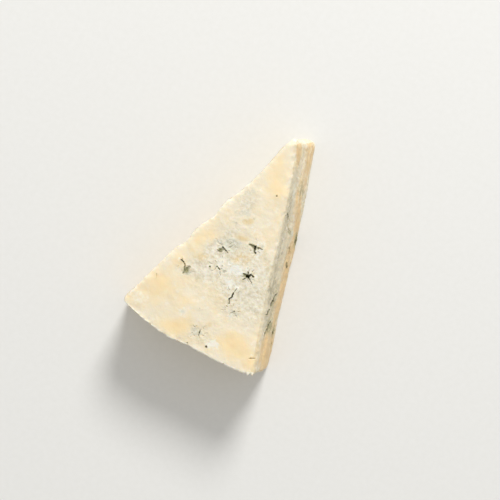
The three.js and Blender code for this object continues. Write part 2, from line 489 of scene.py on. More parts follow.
    def right_brow(self, piece: bpy.types.Object) -> np.ndarray:
        """Finds the edge where the top meets the right-hand cut.

        Args:
            piece: the wedge with large flat faces.

        Returns:
            For each of its edges, whether it is that one.
        """
        point, outward = self.knife_planes()[Face.RIGHT_CUT]
        points = read_points(piece)
        on_cut = np.abs((points - np.array(point)) @ np.array(outward)) < self.brow_reach
        return edges_between(piece, on_cut & (points[:, 2] > self.height - self.brow_reach))

    def skin(self, piece: bpy.types.Object) -> None:
        """Gives the wedge an even grid, bends it to the strokes that weren't straight, and thins its base.

        Args:
            piece: the wedge with large flat faces.
        """
        apply_modifier(piece, "REMESH", mode="VOXEL", voxel_size=self.skin_cell * MM)
        apply_modifier(piece, "SMOOTH", factor=self.skin_smoothing, iterations=self.smooth_passes)
        points = read_points(piece)
        depth = self.depths(points)
        width = np.maximum(depth[Face.LEFT_CUT] + depth[Face.RIGHT_CUT], LEAST_WIDTH)
        share = np.clip(depth[Face.LEFT_CUT] / width, 0, 1)
        straight = self.mean_lean * (1 - points[:, 2] / self.height)
        right = self.lean(points) - straight + self.cut_rise(self.right_waves, points)
        left = self.tuck(points) - self.cut_rise(self.left_waves, points)
        points[:, 0] += share * right + (1 - share) * left
        out = out_from_axis(points)[:, None]
        points[:, :2] *= 1 + self.rind_rise(points)[:, None] * out / self.wheel_radius**2
        depth = self.depths(points)
        brink = self.brink_height * bell(np.hypot(depth[Face.TOP], depth[Face.RIND]), self.brink_reach)
        points += np.column_stack([points[:, :2] / out, np.ones(len(points))]) * brink[:, None] / math.sqrt(2)
        weights = self.face_weights(points)
        proud = self.ledge_depth * smoothstep(self.ledge_blur, -self.ledge_blur, self.above_ledge(points))
        proud *= smoothstep(0, self.ledge_foot, points[:, 2])
        for face, share in zip(CUTS, (self.ledge_left_share, 1.0)):
            outward = np.array(self.knife_planes()[face][1])
            points += np.outer(proud * share * weights[face], outward)
        points[:, 2] = np.maximum(points[:, 2], 0)
        write_points(piece, points)
        select_parts(piece, "FACE", read_faces(piece, "center")[:, 2] < self.base_reach * MM)
        bpy.ops.mesh.decimate(ratio=self.base_share)
        bpy.ops.object.mode_set(mode="OBJECT")


@dataclass(frozen=True)
class ReliefLayer:
    """One scale of the surface's unevenness."""

    name: str
    grain: Grain
    size: float
    height: float
    faces: tuple[Face, ...]
    zone: Zone = Zone.ALL
    flatness: float = 1.0
    stretch: float = 1.0
    turn: float = 0.0
    octaves: int = 1
    level: float = 0.5

    def raise_on(self, piece: bpy.types.Object, weights: np.ndarray, seed: int) -> None:
        """Raises this layer along the normals of a piece.

        Args:
            piece: the mesh object to roughen.
            weights: how strongly each vertex takes part, from 0 to 1.
            seed: shifts the noise, so that layers differ.
        """
        group = piece.vertex_groups.new(name=self.name)
        for index in np.flatnonzero(weights > FAINT):
            group.add([int(index)], float(weights[index]), "REPLACE")
        texture = bpy.data.textures.new(self.name, "CLOUDS")
        texture.noise_basis = self.grain.value
        texture.noise_scale = 1.0
        texture.noise_depth = self.octaves
        bpy.ops.object.select_all(action="DESELECT")
        bpy.ops.object.empty_add(location=LAYER_STEP * seed)
        gauge = bpy.context.active_object
        gauge.scale = Vector((self.stretch, 1, self.flatness)) * self.size * MM
        gauge.rotation_euler = (0, 0, math.radians(self.turn))
        bpy.context.view_layer.update()
        apply_modifier(
            piece,
            "DISPLACE",
            texture=texture,
            texture_coords="OBJECT",
            texture_coords_object=gauge,
            vertex_group=group.name,
            mid_level=self.level,
            strength=self.height * MM,
        )
        piece.vertex_groups.remove(piece.vertex_groups[self.name])
        bpy.data.objects.remove(gauge)
        bpy.data.textures.remove(texture)


@dataclass(frozen=True)
class Stroke:
    """One torn line of an opening, which narrows from its widest place to its ragged ends.

    The points run from the opening's place. The end is the share of the half-width that is left there.
    The widest place is a share of the length from the start.
    """

    line: tuple[Pair, ...]
    width: float
    end: float = 0.3
    depth: float = 2.0
    dark: float = 1.0
    widest: float = 0.0

    def edge(self, places: np.ndarray, swell: np.ndarray) -> np.ndarray:
        """Measures how far places lie from the stroke's edge.

        Args:
            places: places on the face, from the opening's middle.
            swell: how much wider or narrower than planned the stroke is at each place.

        Returns:
            One distance for each place, below 0 inside the stroke.
        """
        corners = np.array(self.line)
        lengths = np.hypot(*np.diff(corners, axis=0).T)
        nearest = np.full(len(places), np.inf)
        before = 0.0
        for start, stop, length in zip(corners, corners[1:], lengths):
            way = (stop - start) / length
            along = np.clip((places - start) @ way, 0, length)
            travelled = np.abs((before + along) / lengths.sum() - self.widest) / (1 - self.widest)
            half = self.width * (1 - (1 - self.end) * travelled) * swell
            nearest = np.minimum(nearest, np.hypot(*(places - start - np.outer(along, way)).T) - half)
            before += length
        return nearest


def dot(across: float, along: float, radius: float, depth: float, dark: float = 1.0) -> Stroke:
    """Gives a round hole as a very short stroke."""
    return Stroke(((across, along), (across + DOT_LENGTH, along)), radius, 1.0, depth, dark)


@dataclass(frozen=True)
class HairCracks:
    """The fine cracks round an opening: short, bent, shallow, and some way out from its middle."""

    start: Pair = (1.9, 4.1)
    length: Pair = (0.9, 2.4)
    bend: float = 0.3
    width: float = 0.24
    end: float = 0.4
    depth: float = 0.4
    dark: float = 0.34

    def spread(self, place: Pair, count: int) -> tuple[Stroke, ...]:
        """Spreads cracks round an opening by golden steps, so that no two line up.

        Args:
            place: the opening's place on its face, which also says where the steps begin.
            count: how many cracks there are.

        Returns:
            The cracks, from the opening's middle.
        """
        found = []
        for index in range(count):
            turn = 2 * math.pi * GOLDEN * (index + place[0])
            way = np.array((math.cos(turn), math.sin(turn)))
            aside = np.array((-way[1], way[0]))
            start = between(self.start, golden(index, start=place[1]))
            length = between(self.length, golden(index, power=2))
            line = (start * way, (start + length / 2) * way + self.bend * aside, (start + length) * way)
            found.append(Stroke(tuple(map(tuple, line)), self.width, self.end, self.depth, self.dark))
        return tuple(found)


@dataclass(frozen=True)
class Gap:
    """What one opening does to the points that it reaches.

    The distance is to the torn edge, below 0 inside. The lining says how much mould covers the torn wall.
    """

    index: np.ndarray
    distance: np.ndarray
    sunk: np.ndarray
    lining: np.ndarray
    dark: np.ndarray


@dataclass(frozen=True)
class Opening:
    """A torn hole or crack with mould round it.

    Its place is across and out on the top, out and up on a cut, and round and up on the rind. The rags of
    its edge come coarse and fine, and a wall slopes more under a deeper stroke.
    """

    face: Face
    place: Pair
    strokes: tuple[Stroke, ...]
    halo: float = 2.0
    hairs: int = 0
    raggedness: float = 0.3
    rag_size: float = 1.5
    unevenness: float = 0.7
    fine_times: float = 3.0
    fine_share: float = 0.5
    swell_size: float = 0.7
    swell_limits: Pair = (0.15, 2.0)
    floor_size: float = 0.9
    floor_wave: float = 0.5
    floor_seed: float = 7.3
    mouth: float = 0.1
    wall: float = 0.2
    wall_slope: float = 0.12
    lined_from: float = 0.26
    lined_to: float = -0.3
    halos: float = 2.5
    margin: float = 2.0

    @property
    def all_strokes(self) -> tuple[Stroke, ...]:
        """The opening's own strokes and its hair cracks."""
        return self.strokes + HairCracks().spread(self.place, self.hairs)

    @property
    def span(self) -> float:
        """How far the opening and its halo reach from its middle."""
        reach = max(math.hypot(*point) + stroke.width for stroke in self.all_strokes for point in stroke.line)
        return reach + self.halos * self.halo + self.margin

    def offsets(self, form: WedgeForm, points: np.ndarray) -> np.ndarray:
        """Gives each point's place on the opening's face, from the opening's middle.

        Args:
            form: the wedge that the opening is in.
            points: places in millimetres.

        Returns:
            Two coordinates for each point, along the face.
        """
        if self.face is Face.TOP:
            flat = points[:, :2] * np.array((1, -1)) - np.array(self.place)
            return flat * np.array((1, -1))
        if self.face is Face.RIND:
            along = form.wheel_radius * turn_round_axis(points)
        else:
            along = form.out_along_cut(points)
        return np.column_stack([along, points[:, 2]]) - np.array(self.place)

    def gap(self, index: np.ndarray, offsets: np.ndarray) -> Gap:
        """Works out what the opening does to some points.

        Args:
            index: which of the skin's points they are.
            offsets: their places on the face, from the opening's middle.

        Returns:
            How far each lies from the torn edge, how deep it sinks and how mouldy it is.
        """
        solid = np.column_stack([offsets, np.full(len(offsets), self.place[0])])
        rag = np.zeros_like(offsets)
        swell = np.ones(len(offsets))
        for size, share in ((self.rag_size, 1.0), (self.rag_size / self.fine_times, self.fine_share)):
            rag += share * np.array([noise.noise_vector(Vector(point))[:2] for point in solid / size])
            swell += self.unevenness * share * noise_at(solid, self.swell_size * size, self.place[1])
        torn = offsets + self.raggedness * rag
        uneven_floor = 1 + self.floor_wave * noise_at(solid, self.floor_size, self.floor_seed)
        distance = np.full(len(torn), np.inf)
        sunk, lining, dark = np.zeros((3, len(torn)))
        for stroke in self.all_strokes:
            edge = stroke.edge(torn, np.clip(swell, *self.swell_limits))
            wall = self.wall + self.wall_slope * stroke.depth
            sunk = np.maximum(sunk, stroke.depth * uneven_floor * smoothstep(self.mouth, -wall, edge))
            lining = np.maximum(lining, stroke.dark * smoothstep(self.lined_from, self.lined_to, edge))
            dark = np.where(edge < distance, stroke.dark, dark)
            distance = np.minimum(edge, distance)
        return Gap(index, distance, sunk, lining, dark)


@dataclass(frozen=True)
class Flake:
    """A ragged thread that the knife pulled from the rind's top edge, or a notch if its reach is below 0."""

    around: float
    reach: float
    width: float


@dataclass(frozen=True)
class Patch:
    """A soft-edged spot with its own reach and strength.

    Its place is across and out on the top, and out and up on a cut.
    """

    place: Pair
    reach: Pair
    strength: float = 1.0
    turn: float = 0.0

    def weight(self, points: np.ndarray) -> np.ndarray:
        """Gives the patch's strength at each point.

        Args:
            points: places in millimetres.

        Returns:
            One strength for each point, from 0 to the patch's own.
        """
        offset = points[:, :2] - np.array((self.place[0], -self.place[1]))
        c, s = math.cos(math.radians(self.turn)), math.sin(math.radians(self.turn))
        along = (offset @ np.array((c, s))) / self.reach[0]
        beside = (offset @ np.array((-s, c))) / self.reach[1]
        return self.strength * np.exp(-(along**2 + beside**2))


def patched(patches: tuple[Patch, ...], points: np.ndarray) -> np.ndarray:
    """Lays soft patches over each other.

    Args:
        patches: the patches to lay.
        points: places in millimetres.

    Returns:
        One strength for each point, from 0 to 1.
    """
    bare = np.ones(len(points))
    for patch in patches:
        bare *= 1 - patch.weight(points)
    return 1 - bare


def linear(tint: str) -> tuple[float, float, float, float]:
    """Turns an sRGB colour into the linear colour that shaders use.

    Args:
        tint: a hash sign and six hexadecimal digits.

    Returns:
        Red, green, blue and a full alpha.
    """
    channels = [int(tint[start:start + 2], 16) / 255 for start in (1, 3, 5)]
    light = [c / 12.92 if c <= 0.04045 else ((c + 0.055) / 1.055) ** 2.4 for c in channels]
    return (*light, 1.0)


def add_node(
    tree: bpy.types.NodeTree, kind: str, links: dict[int | str, object], **settings: object
) -> bpy.types.Node:
    """Adds one node to a shader.

    Args:
        tree: the shader's node tree.
        kind: Blender's name for the node.
        links: for each input, the socket that feeds it or the value that it holds.
        **settings: the node's own settings.

    Returns:
        The new node.
    """
    node = tree.nodes.new(kind)
    for name, value in settings.items():
        setattr(node, name, value)
    for key, source in links.items():
        if isinstance(source, bpy.types.NodeSocket):
            tree.links.new(source, node.inputs[key])
        else:
            node.inputs[key].default_value = source
    return node


def start_shader(name: str) -> tuple[bpy.types.Material, bpy.types.NodeTree, bpy.types.NodeSocket]:
    """Starts a material.

    Args:
        name: what the material is called.

    Returns:
        The material, its empty node tree and the socket with the piece's own coordinates.
    """
    material = bpy.data.materials.new(name)
    material.use_nodes = True
    tree = material.node_tree
    tree.nodes.clear()
    return material, tree, add_node(tree, "ShaderNodeTexCoord", {}).outputs["Object"]


@dataclass(frozen=True)
class Mottle:
    """One tint over the paste: an attribute says where, and a noise of a real size makes its edge ragged.

    The tint shows where the attribute, raised or lowered by the noise, passes from low to high.
    """

    tint: str
    attribute: str
    size: float
    low: float
    high: float
    opacity: float = 1.0
    pattern: Pattern = Pattern.CLOUDS
    ragged: float = 1.0
    flatness: float = 1.0
    detail: float = 4.0
    seed: float = 0.0
    roughness: float = 0.6
    vein_sharpness: float = 4.0

    def mask(self, tree: bpy.types.NodeTree, coords: bpy.types.NodeSocket) -> bpy.types.NodeSocket:
        """Adds the nodes that say how strongly the tint shows.

        Args:
            tree: the shader's node tree.
            coords: the coordinates that the noise reads.

        Returns:
            The socket with the tint's strength.
        """
        placed = add_node(
            tree,
            "ShaderNodeMapping",
            {"Vector": coords, "Location": (self.seed,) * 3, "Scale": (1, 1, 1 / self.flatness)},
        )
        fineness = {"Scale": 1 / (self.size * MM), "Detail": self.detail, "Roughness": self.roughness}
        links = {"Vector": placed.outputs[0], **fineness}
        grain = add_node(tree, "ShaderNodeTexNoise", links).outputs[0]
        if self.pattern is Pattern.VEINS:
            off_line = add_node(tree, "ShaderNodeMath", {0: grain, 1: 0.5}, operation="SUBTRACT")
            aside = add_node(tree, "ShaderNodeMath", {0: off_line.outputs[0]}, operation="ABSOLUTE")
            links = {0: aside.outputs[0], 1: -self.vein_sharpness, 2: 1.0}
            grain = add_node(tree, "ShaderNodeMath", links, operation="MULTIPLY_ADD").outputs[0]
        where = add_node(tree, "ShaderNodeAttribute", {}, attribute_name=self.attribute)
        links = {0: grain, 1: self.ragged, 2: where.outputs["Fac"]}
        level = add_node(tree, "ShaderNodeMath", links, operation="MULTIPLY_ADD")
        lift = self.ragged / 2
        shown = add_node(
            tree,
            "ShaderNodeMapRange",
            {0: level.outputs[0], 1: self.low + lift, 2: self.high + lift, 3: 0.0, 4: self.opacity},
            interpolation_type="SMOOTHSTEP",
        )
        return shown.outputs[0]


@dataclass(frozen=True)
class BlueCheesePaste:
    """Blue cheese: milled and salted curd, pressed in a hoop, pierced and ripened.

    The eye gets a pale ivory body that lets a little light in, a dull moist gloss, butter-yellow stains
    where it has sweated clear, powder-white bloom where it has dried, and grey-green where mould lies under
    the skin. Painted highlight lies along its lit left edge, on its tip and on the lips round its openings,
    and painted shade greys its open curd.
    """

    name: str = "blue_cheese_paste"
    ivory: str = "#EFE4CA"
    mottles: tuple[Mottle, ...] = (
        Mottle("#DFCEA9", "cut", 12.0, 0.30, 0.60, 0.9, seed=4.1),
        Mottle("#F0DDB4", "paste", 12.0, 0.46, 0.62, 0.5, seed=0.1),
        # greyer open curd, partly painted shade of its rough relief
        Mottle("#DED6BE", "open_curd_and_shade", 7.0, 0.10, 0.80, 0.65, seed=0.2),
        Mottle("#F8F1E2", "paste", 4.0, 0.53, 0.66, 0.4, seed=0.7),
        Mottle("#F6DFB1", "butter", 6.0, 0.08, 0.85, 0.95, ragged=0.9, seed=0.3),
        Mottle("#F2D299", "butter", 5.0, 0.75, 1.10, 0.5, ragged=0.9, seed=0.4),
        Mottle("#E4CC99", "ripe", 4.0, 0.25, 0.85, 0.75, ragged=1.0, detail=5.0, seed=4.4),
        Mottle("#CCC1A2", "uneven", 2.2, 0.84, 1.16, 0.5, ragged=1.4, seed=4.7),
        Mottle("#F9F5E8", "uneven", 1.9, 0.84, 1.16, 0.45, ragged=1.4, seed=5.1),
        # powder-white bloom, and painted highlight on the lips round the openings
        Mottle("#F4F4EA", "bloom_and_lip_highlight", 3.0, 0.40, 0.80, 0.75, ragged=1.5, seed=0.5),
        Mottle("#D8D5C4", "mould", 3.0, 0.40, 0.75, 0.7, ragged=1.2, detail=6.0, seed=0.9),
        Mottle("#B9B49C", "mould", 2.2, 1.00, 1.25, 0.7, Pattern.VEINS, detail=3.0, seed=1.3),
        Mottle("#E4C695", "tan", 9.0, 0.15, 0.70, 0.95, ragged=0.9, flatness=0.45, detail=5.0, seed=1.1),
        Mottle("#D8B27C", "tan", 7.0, 0.95, 1.20, 0.5, ragged=1.2, flatness=0.3, seed=1.5),
        Mottle("#D8CDB1", "veined", 8.0, 0.20, 0.70, 0.95, ragged=0.9, flatness=0.45, seed=1.7),
        Mottle("#B0A98D", "veined", 5.0, 1.00, 1.35, 0.45, ragged=1.6, flatness=0.5, seed=2.1),
        Mottle("#DFDDCC", "chalk", 4.0, 0.30, 0.90, 0.85, ragged=0.8, flatness=0.4, seed=6.1),
        Mottle("#F0E5CC", "cut", 16.0, 1.04, 1.22, 0.5, flatness=0.16, seed=2.7),
        Mottle("#8A8468", "veined", 12.0, 1.15, 1.30, 0.5, Pattern.VEINS, flatness=0.5, detail=3.0, seed=2.5),
        Mottle("#E8D5AD", "rind", 9.0, 0.30, 0.60, 0.9, seed=2.3),
        Mottle("#D2BD92", "rind", 10.0, 0.96, 1.16, 0.6, ragged=1.2, flatness=0.25, detail=6.0, seed=5.3),
        Mottle("#F1E8D2", "rind", 4.0, 0.90, 1.25, 0.6, ragged=1.2, detail=6.0, seed=2.9),
        Mottle("#BFAE8A", "rind", 1.6, 1.18, 1.32, 0.7, ragged=1.2, detail=3.0, seed=5.7),
        # painted highlight on the left edge, the left corner and the tip, with the paler dry top edge of the
        # rind
        Mottle("#FAF3E0", "dry_edge_and_painted_highlight", 2.0, 0.30, 0.70, 0.85, seed=3.3),
        Mottle("#9C986E", "olive", 1.4, 0.20, 0.80, 0.9, ragged=0.8, detail=4.0, seed=3.5),
        Mottle("#A3A081", "tear_edge", 1.0, 0.25, 0.95, 0.7, ragged=0.8, detail=3.0, seed=3.1),
        Mottle("#635D3C", "tear", 1.2, 0.05, 0.95, 0.95, ragged=0.3, detail=2.0, seed=3.7),
    )
    gloss: float = 0.54
    powder: float = 0.85
    curd_size: float = 1.5
    curd_height: float = 0.32
    skin_size: float = 0.6
    skin_height: float = 0.1
    relief_detail: float = 3.0
    ior: float = 1.45
    sheen: float = 0.35
    clear_share: float = 0.25
    light_reach: tuple[float, float, float] = (1.0, 0.7, 0.4)
    light_depth: float = 2.2

    def build(self) -> bpy.types.Material:
        """Makes the material.

        Returns:
            The paste's material, with its colours, gloss and fine relief.
        """
        material, tree, coords = start_shader(self.name)
        colour: object = linear(self.ivory)
        bloom_and_highlight_mask = None
        for mottle in self.mottles:
            mask = mottle.mask(tree, coords)
            # bloom and the painted lip highlight also make the finish rougher
            if mottle.attribute == "bloom_and_lip_highlight":
                bloom_and_highlight_mask = mask
            links = {0: mask, 6: colour, 7: linear(mottle.tint)}
            colour = add_node(tree, "ShaderNodeMix", links, data_type="RGBA").outputs[2]
        links = {0: bloom_and_highlight_mask, 1: 0.0, 2: 1.0, 3: self.gloss, 4: self.powder}
        roughness = add_node(tree, "ShaderNodeMapRange", links)
        uneven = add_node(tree, "ShaderNodeAttribute", {}, attribute_name="uneven").outputs["Fac"]
        normal = None
        for size, height in ((self.curd_size, self.curd_height), (self.skin_size, self.skin_height)):
            links = {"Vector": coords, "Scale": 1 / (size * MM), "Detail": self.relief_detail}
            grain = add_node(tree, "ShaderNodeTexNoise", links)
            links = {"Height": grain.outputs[0], "Distance": height * MM, "Strength": uneven}
            if normal is not None:
                links["Normal"] = normal
            normal = add_node(tree, "ShaderNodeBump", links).outputs[0]
        shader = add_node(
            tree,
            "ShaderNodeBsdfPrincipled",
            {
                "Base Color": colour,
                "Roughness": roughness.outputs[0],
                "Normal": normal,
                "IOR": self.ior,
                "Specular IOR Level": self.sheen,
                "Subsurface Weight": self.clear_share,
                "Subsurface Radius": self.light_reach,
                "Subsurface Scale": self.light_depth * MM,
            },
        )
        add_node(tree, "ShaderNodeOutputMaterial", {"Surface": shader.outputs[0]})
        return material


@dataclass(frozen=True)
class PaintedBoard:
    """Board sprayed with matt white paint: an even, faintly speckled surface with no gloss."""

    name: str = "painted_board"
    white: str = "#EBEAE6"
    shade: str = "#E6E5E0"
    speck_size: float = 3.0
    speck_detail: float = 2.0
    roughness: float = 0.8

    def build(self) -> bpy.types.Material:
        """Makes the material.

        Returns:
            The board's material.
        """
        material, tree, coords = start_shader(self.name)
        links = {"Vector": coords, "Scale": 1 / (self.speck_size * MM), "Detail": self.speck_detail}
        specks = add_node(tree, "ShaderNodeTexNoise", links)
        links = {0: specks.outputs[0], 6: linear(self.white), 7: linear(self.shade)}
        colour = add_node(tree, "ShaderNodeMix", links, data_type="RGBA")
        links = {"Base Color": colour.outputs[2], "Roughness": self.roughness}
        shader = add_node(tree, "ShaderNodeBsdfPrincipled", links)
        add_node(tree, "ShaderNodeOutputMaterial", {"Surface": shader.outputs[0]})
        return material


# Torn mouths of the needle channels in the top, and cracks between them. A stroke's numbers are its
# half-width, the share of it left at the end, its depth and its darkness. A dot's are its place, radius,
# depth and darkness.
TOP_OPENINGS = (
    Opening(Face.TOP, (-19.8, 93.8), halo=1.4, hairs=4, strokes=(
        Stroke(((-2.8, 1.5), (-1.1, 0.9)), 0.42, 0.8, 1.6, 0.85),
        Stroke(((-1.1, 0.9), (0.1, 0.2), (0.5, -0.9), (0.8, -1.8)), 0.36, 0.9, 0.9, 0.55),
        Stroke(((0.8, -1.8), (1.2, -2.6), (1.8, -4.9)), 0.4, 0.9, 0.7, 0.38),
        Stroke(((2.9, -0.4), (2.2, -2.4), (1.7, -4.2)), 0.85, 0.6, 0.5, 0.36),
    )),
    Opening(Face.TOP, (-4.6, 76.3), halo=2.4, hairs=5, strokes=(
        Stroke(((-1.5, 0.6), (-0.2, 0.15), (1.0, -0.3)), 0.36, 0.9, 1.7, 0.88),
        Stroke(((1.0, -0.3), (2.3, -0.7)), 0.26, 1.0, 0.8, 0.55),
        Stroke(((-0.9, -0.4), (-1.7, -1.4)), 0.8, 0.9, 0.5, 0.3),
        Stroke(((-1.0, -1.9), (-3.5, -2.2)), 0.5, 0.4, 0.6, 0.6),
        Stroke(((2.1, 2.2), (2.9, 4.3)), 0.3, 0.6, 0.4, 0.4),
        Stroke(((0.9, 3.4), (1.4, 5.3)), 0.24, 0.6, 0.3, 0.3),
        Stroke(((2.0, 4.4), (2.4, 6.6)), 0.24, 0.6, 0.3, 0.3),
        Stroke(((-6.8, 2.9), (-5.0, 1.4), (-2.4, 1.2)), 0.6, 0.6, 0.2, 0.16),
    )),
    Opening(Face.TOP, (9.2, 67.3), halo=2.6, hairs=4, strokes=(
        dot(0.3, 0.0, 0.75, 2.2, 1.0),
        Stroke(((0.3, 0.1), (0.4, -1.5)), 0.6, 0.7, 1.7, 0.9),
        Stroke(((-0.4, -0.3), (-3.4, -0.3)), 1.0, 0.25, 0.5, 0.5),
        Stroke(((0.4, -1.5), (1.7, -2.8)), 0.38, 1.1, 1.2, 0.75),
        Stroke(((1.7, -2.8), (1.8, -4.9)), 0.28, 0.4, 0.3, 0.3),
        Stroke(((2.0, 0.4), (4.2, 0.8)), 0.55, 0.4, 0.5, 0.5),
        dot(1.9, 0.3, 0.6, 0.7, 0.6),
    )),
    Opening(Face.TOP, (-2.6, 86.9), halo=2.0, hairs=6, strokes=(
        dot(-4.5, -1.5, 0.4, 0.9, 0.7),
        dot(-1.2, 0.6, 0.38, 1.0, 0.75),
        Stroke(((-1.2, 0.6), (0.8, -0.3)), 0.26, 1.2, 0.9, 0.7),
        dot(0.8, -0.3, 0.34, 1.0, 0.8),
        dot(1.2, 2.1, 0.26, 0.7, 0.6),
        Stroke(((1.0, 0.1), (1.5, 0.9)), 0.3, 0.8, 0.4, 0.4),
        Stroke(((-1.2, 0.2), (-1.5, -0.9)), 0.24, 0.8, 0.6, 0.55),
        dot(1.7, -1.6, 0.5, 0.4, 0.45),
        dot(3.6, -0.4, 0.7, 0.25, 0.3),
    )),
    Opening(Face.TOP, (13.5, 82.8), halo=2.2, hairs=5, strokes=(
        dot(-0.1, -0.2, 1.15, 2.8),
        Stroke(((-0.2, 0.0), (0.9, 1.1)), 0.75, 0.6, 1.5, 0.85),
        Stroke(((-0.4, -0.1), (-2.9, -0.2)), 1.0, 0.3, 0.7, 0.55),
        Stroke(((-0.3, 0.6), (-1.0, 1.7)), 0.5, 0.7, 1.0, 0.65),
        Stroke(((-1.1, 1.8), (-1.1, 3.6)), 0.28, 0.4, 0.4, 0.4),
        dot(2.6, 0.9, 0.42, 1.4, 0.9),
        Stroke(((0.9, 1.1), (1.8, 1.2), (2.6, 0.9)), 0.4, 0.9, 0.9, 0.72),
        Stroke(((1.2, -1.1), (3.5, -2.6)), 0.42, 0.7, 0.6, 0.55),
        Stroke(((3.5, -2.6), (5.1, -4.0)), 0.3, 0.4, 0.3, 0.3),
        Stroke(((-0.8, -2.0), (-1.7, -3.1)), 0.36, 0.8, 0.6, 0.62),
        dot(0.7, 3.3, 0.36, 0.5, 0.45),
    )),
    Opening(Face.TOP, (11.2, 96.4), halo=1.4, hairs=5, strokes=(
        Stroke(((-0.2, 1.7), (-0.1, -0.7), (-0.7, -2.4)), 0.32, 1.1, 1.8, 0.82),
        Stroke(((-0.2, 1.7), (0.2, 4.6)), 0.34, 0.4, 0.7, 0.5),
        Stroke(((-0.7, -2.4), (-0.2, -3.4), (0.2, -4.4)), 0.36, 0.9, 0.9, 0.6),
        Stroke(((0.2, -4.4), (-0.1, -6.4)), 0.4, 0.5, 0.3, 0.3),
    )),
    Opening(Face.TOP, (15.3, 103.9), halo=2.6, hairs=6, strokes=(
        dot(0.6, 0.7, 0.4, 0.8, 0.6),
        Stroke(((0.6, 0.7), (0.2, -0.3), (-0.7, -1.3)), 0.3, 0.5, 0.5, 0.4),
    )),
    Opening(Face.TOP, (4.8, 122.3), halo=2.6, hairs=6, strokes=(
        Stroke(((0.1, 0.9), (0.1, -0.3)), 0.32, 0.8, 1.2, 0.85),
        Stroke(((0.1, 0.2), (0.1, 2.1)), 0.28, 0.4, 0.5, 0.4),
        dot(0.4, -1.6, 0.3, 0.5, 0.5),
        dot(-3.1, 2.2, 0.6, 0.3, 0.3),
        dot(-1.8, -2.6, 0.5, 0.3, 0.3),
        dot(-3.0, -4.2, 0.35, 0.4, 0.35),
    )),
    Opening(Face.TOP, (11.9, 127.3), halo=0.8, strokes=(
        dot(0.0, 0.0, 0.55, 0.7, 0.65),
        dot(1.4, -1.3, 0.24, 0.3, 0.3),
    )),
    Opening(Face.TOP, (1.7, 130.4), halo=0.8, strokes=(dot(0.0, 0.0, 0.3, 0.6, 0.5),)),
    Opening(Face.TOP, (-1.2, 110.9), halo=0.6, strokes=(dot(0.0, 0.0, 0.32, 0.4, 0.4),)),
    Opening(Face.TOP, (-30.2, 106.4), halo=0.6, strokes=(
        Stroke(((-0.5, 1.0), (0.5, -0.9)), 0.26, 0.6, 0.6, 0.4),
    )),
    Opening(Face.TOP, (6.5, 37.4), halo=0.6, strokes=(dot(0.0, 0.0, 0.4, 0.8, 0.5),)),
    Opening(Face.TOP, (36.5, 121.0), halo=0.6, strokes=(
        Stroke(((-0.8, -0.6), (0.3, 0.2), (1.6, 0.6)), 0.6, 0.5, 0.8, 0.34),
    )),
)

# Splits between lumps of curd that the right-hand cut runs through, widest in the middle. The numbers
# after each line are its half-width, depth and darkness.
RIGHT_OPENINGS = tuple(
    Opening(
        Face.RIGHT_CUT,
        place,
        (Stroke(line, width, end=0.2, depth=depth, dark=dark, widest=0.5),),
        halo=1.8,
        hairs=3,
        raggedness=0.5,
        rag_size=2.4,
        unevenness=0.9,
    )
    for place, line, width, depth, dark in (
        ((17.5, 30.5), ((-1.4, 2.6), (0.0, 0.0), (1.8, -2.4)), 0.5, 0.4, 0.35),
        ((45.6, 33.5), ((-0.7, 1.8), (0.0, 0.4), (0.6, -1.2), (2.2, -4.0)), 1.0, 0.7, 0.55),
        ((51.5, 25.0), ((-3.4, 4.6), (0.0, 0.0), (2.6, -6.0)), 0.5, 0.4, 0.3),
        ((57.0, 4.6), ((-4.2, 1.4), (0.0, 0.0), (4.2, -0.8)), 1.4, 0.8, 0.6),
        ((62.5, 15.0), ((-1.0, 3.6), (0.0, 0.0), (0.8, -3.0)), 0.9, 0.6, 0.45),
        ((71.5, 13.0), ((-1.6, 3.0), (0.0, 0.0), (1.4, -2.8)), 1.0, 0.7, 0.45),
        ((95.0, 26.2), ((-6.8, -3.6), (-2.5, -1.0), (0.0, 0.4), (3.2, 3.4)), 1.4, 0.9, 0.8),
        ((100.4, 33.0), ((-2.2, -4.0), (0.0, 0.3), (1.4, 4.6)), 1.4, 0.9, 0.8),
        ((102.4, 32.5), ((-1.8, 1.0), (0.0, 0.0), (2.4, -1.6)), 0.8, 0.6, 0.6),
        ((109.6, 26.5), ((-5.2, -5.0), (-1.2, -1.6), (1.0, 1.2), (3.4, 5.6)), 1.6, 1.0, 0.8),
        ((109.5, 11.0), ((-1.2, 4.4), (0.2, 0.0), (0.8, -4.0)), 1.0, 0.7, 0.5),
        ((116.0, 7.5), ((-4.0, -0.7), (0.0, 0.0), (4.4, 0.6)), 0.8, 0.5, 0.4),
    )
)

# Stains on the knife cuts, by their places out and up: grey-green mould, brown dried curd, chalky curd
# and olive smears. A patch's numbers are its place, its reach, its strength and its turn in degrees.
CUT_GREY = (
    Patch((42.0, 33.0), (20.0, 8.5), 0.9, 6.0),
    Patch((62.0, 30.0), (14.0, 13.0), 0.9),
    Patch((89.0, 32.0), (23.0, 14.0), 0.95),
    Patch((24.0, 32.0), (7.0, 5.0), 0.6),
)
CUT_TAN = (
    Patch((10.0, 34.0), (9.0, 6.5), 1.0),
    Patch((8.0, 12.0), (10.0, 9.0), 0.9),
    Patch((43.0, 13.5), (18.0, 6.5), 1.0, 33.0),
    Patch((23.0, 15.0), (8.0, 6.0), 0.5),
    Patch((63.0, 8.0), (9.0, 8.0), 0.8),
    Patch((69.0, 18.0), (7.0, 5.0), 0.7),
    Patch((38.0, 21.0), (6.0, 4.0), 0.6),
    Patch((90.0, 12.0), (21.0, 12.5), 1.0),
    Patch((122.0, 14.0), (11.0, 23.0), 1.0),
)
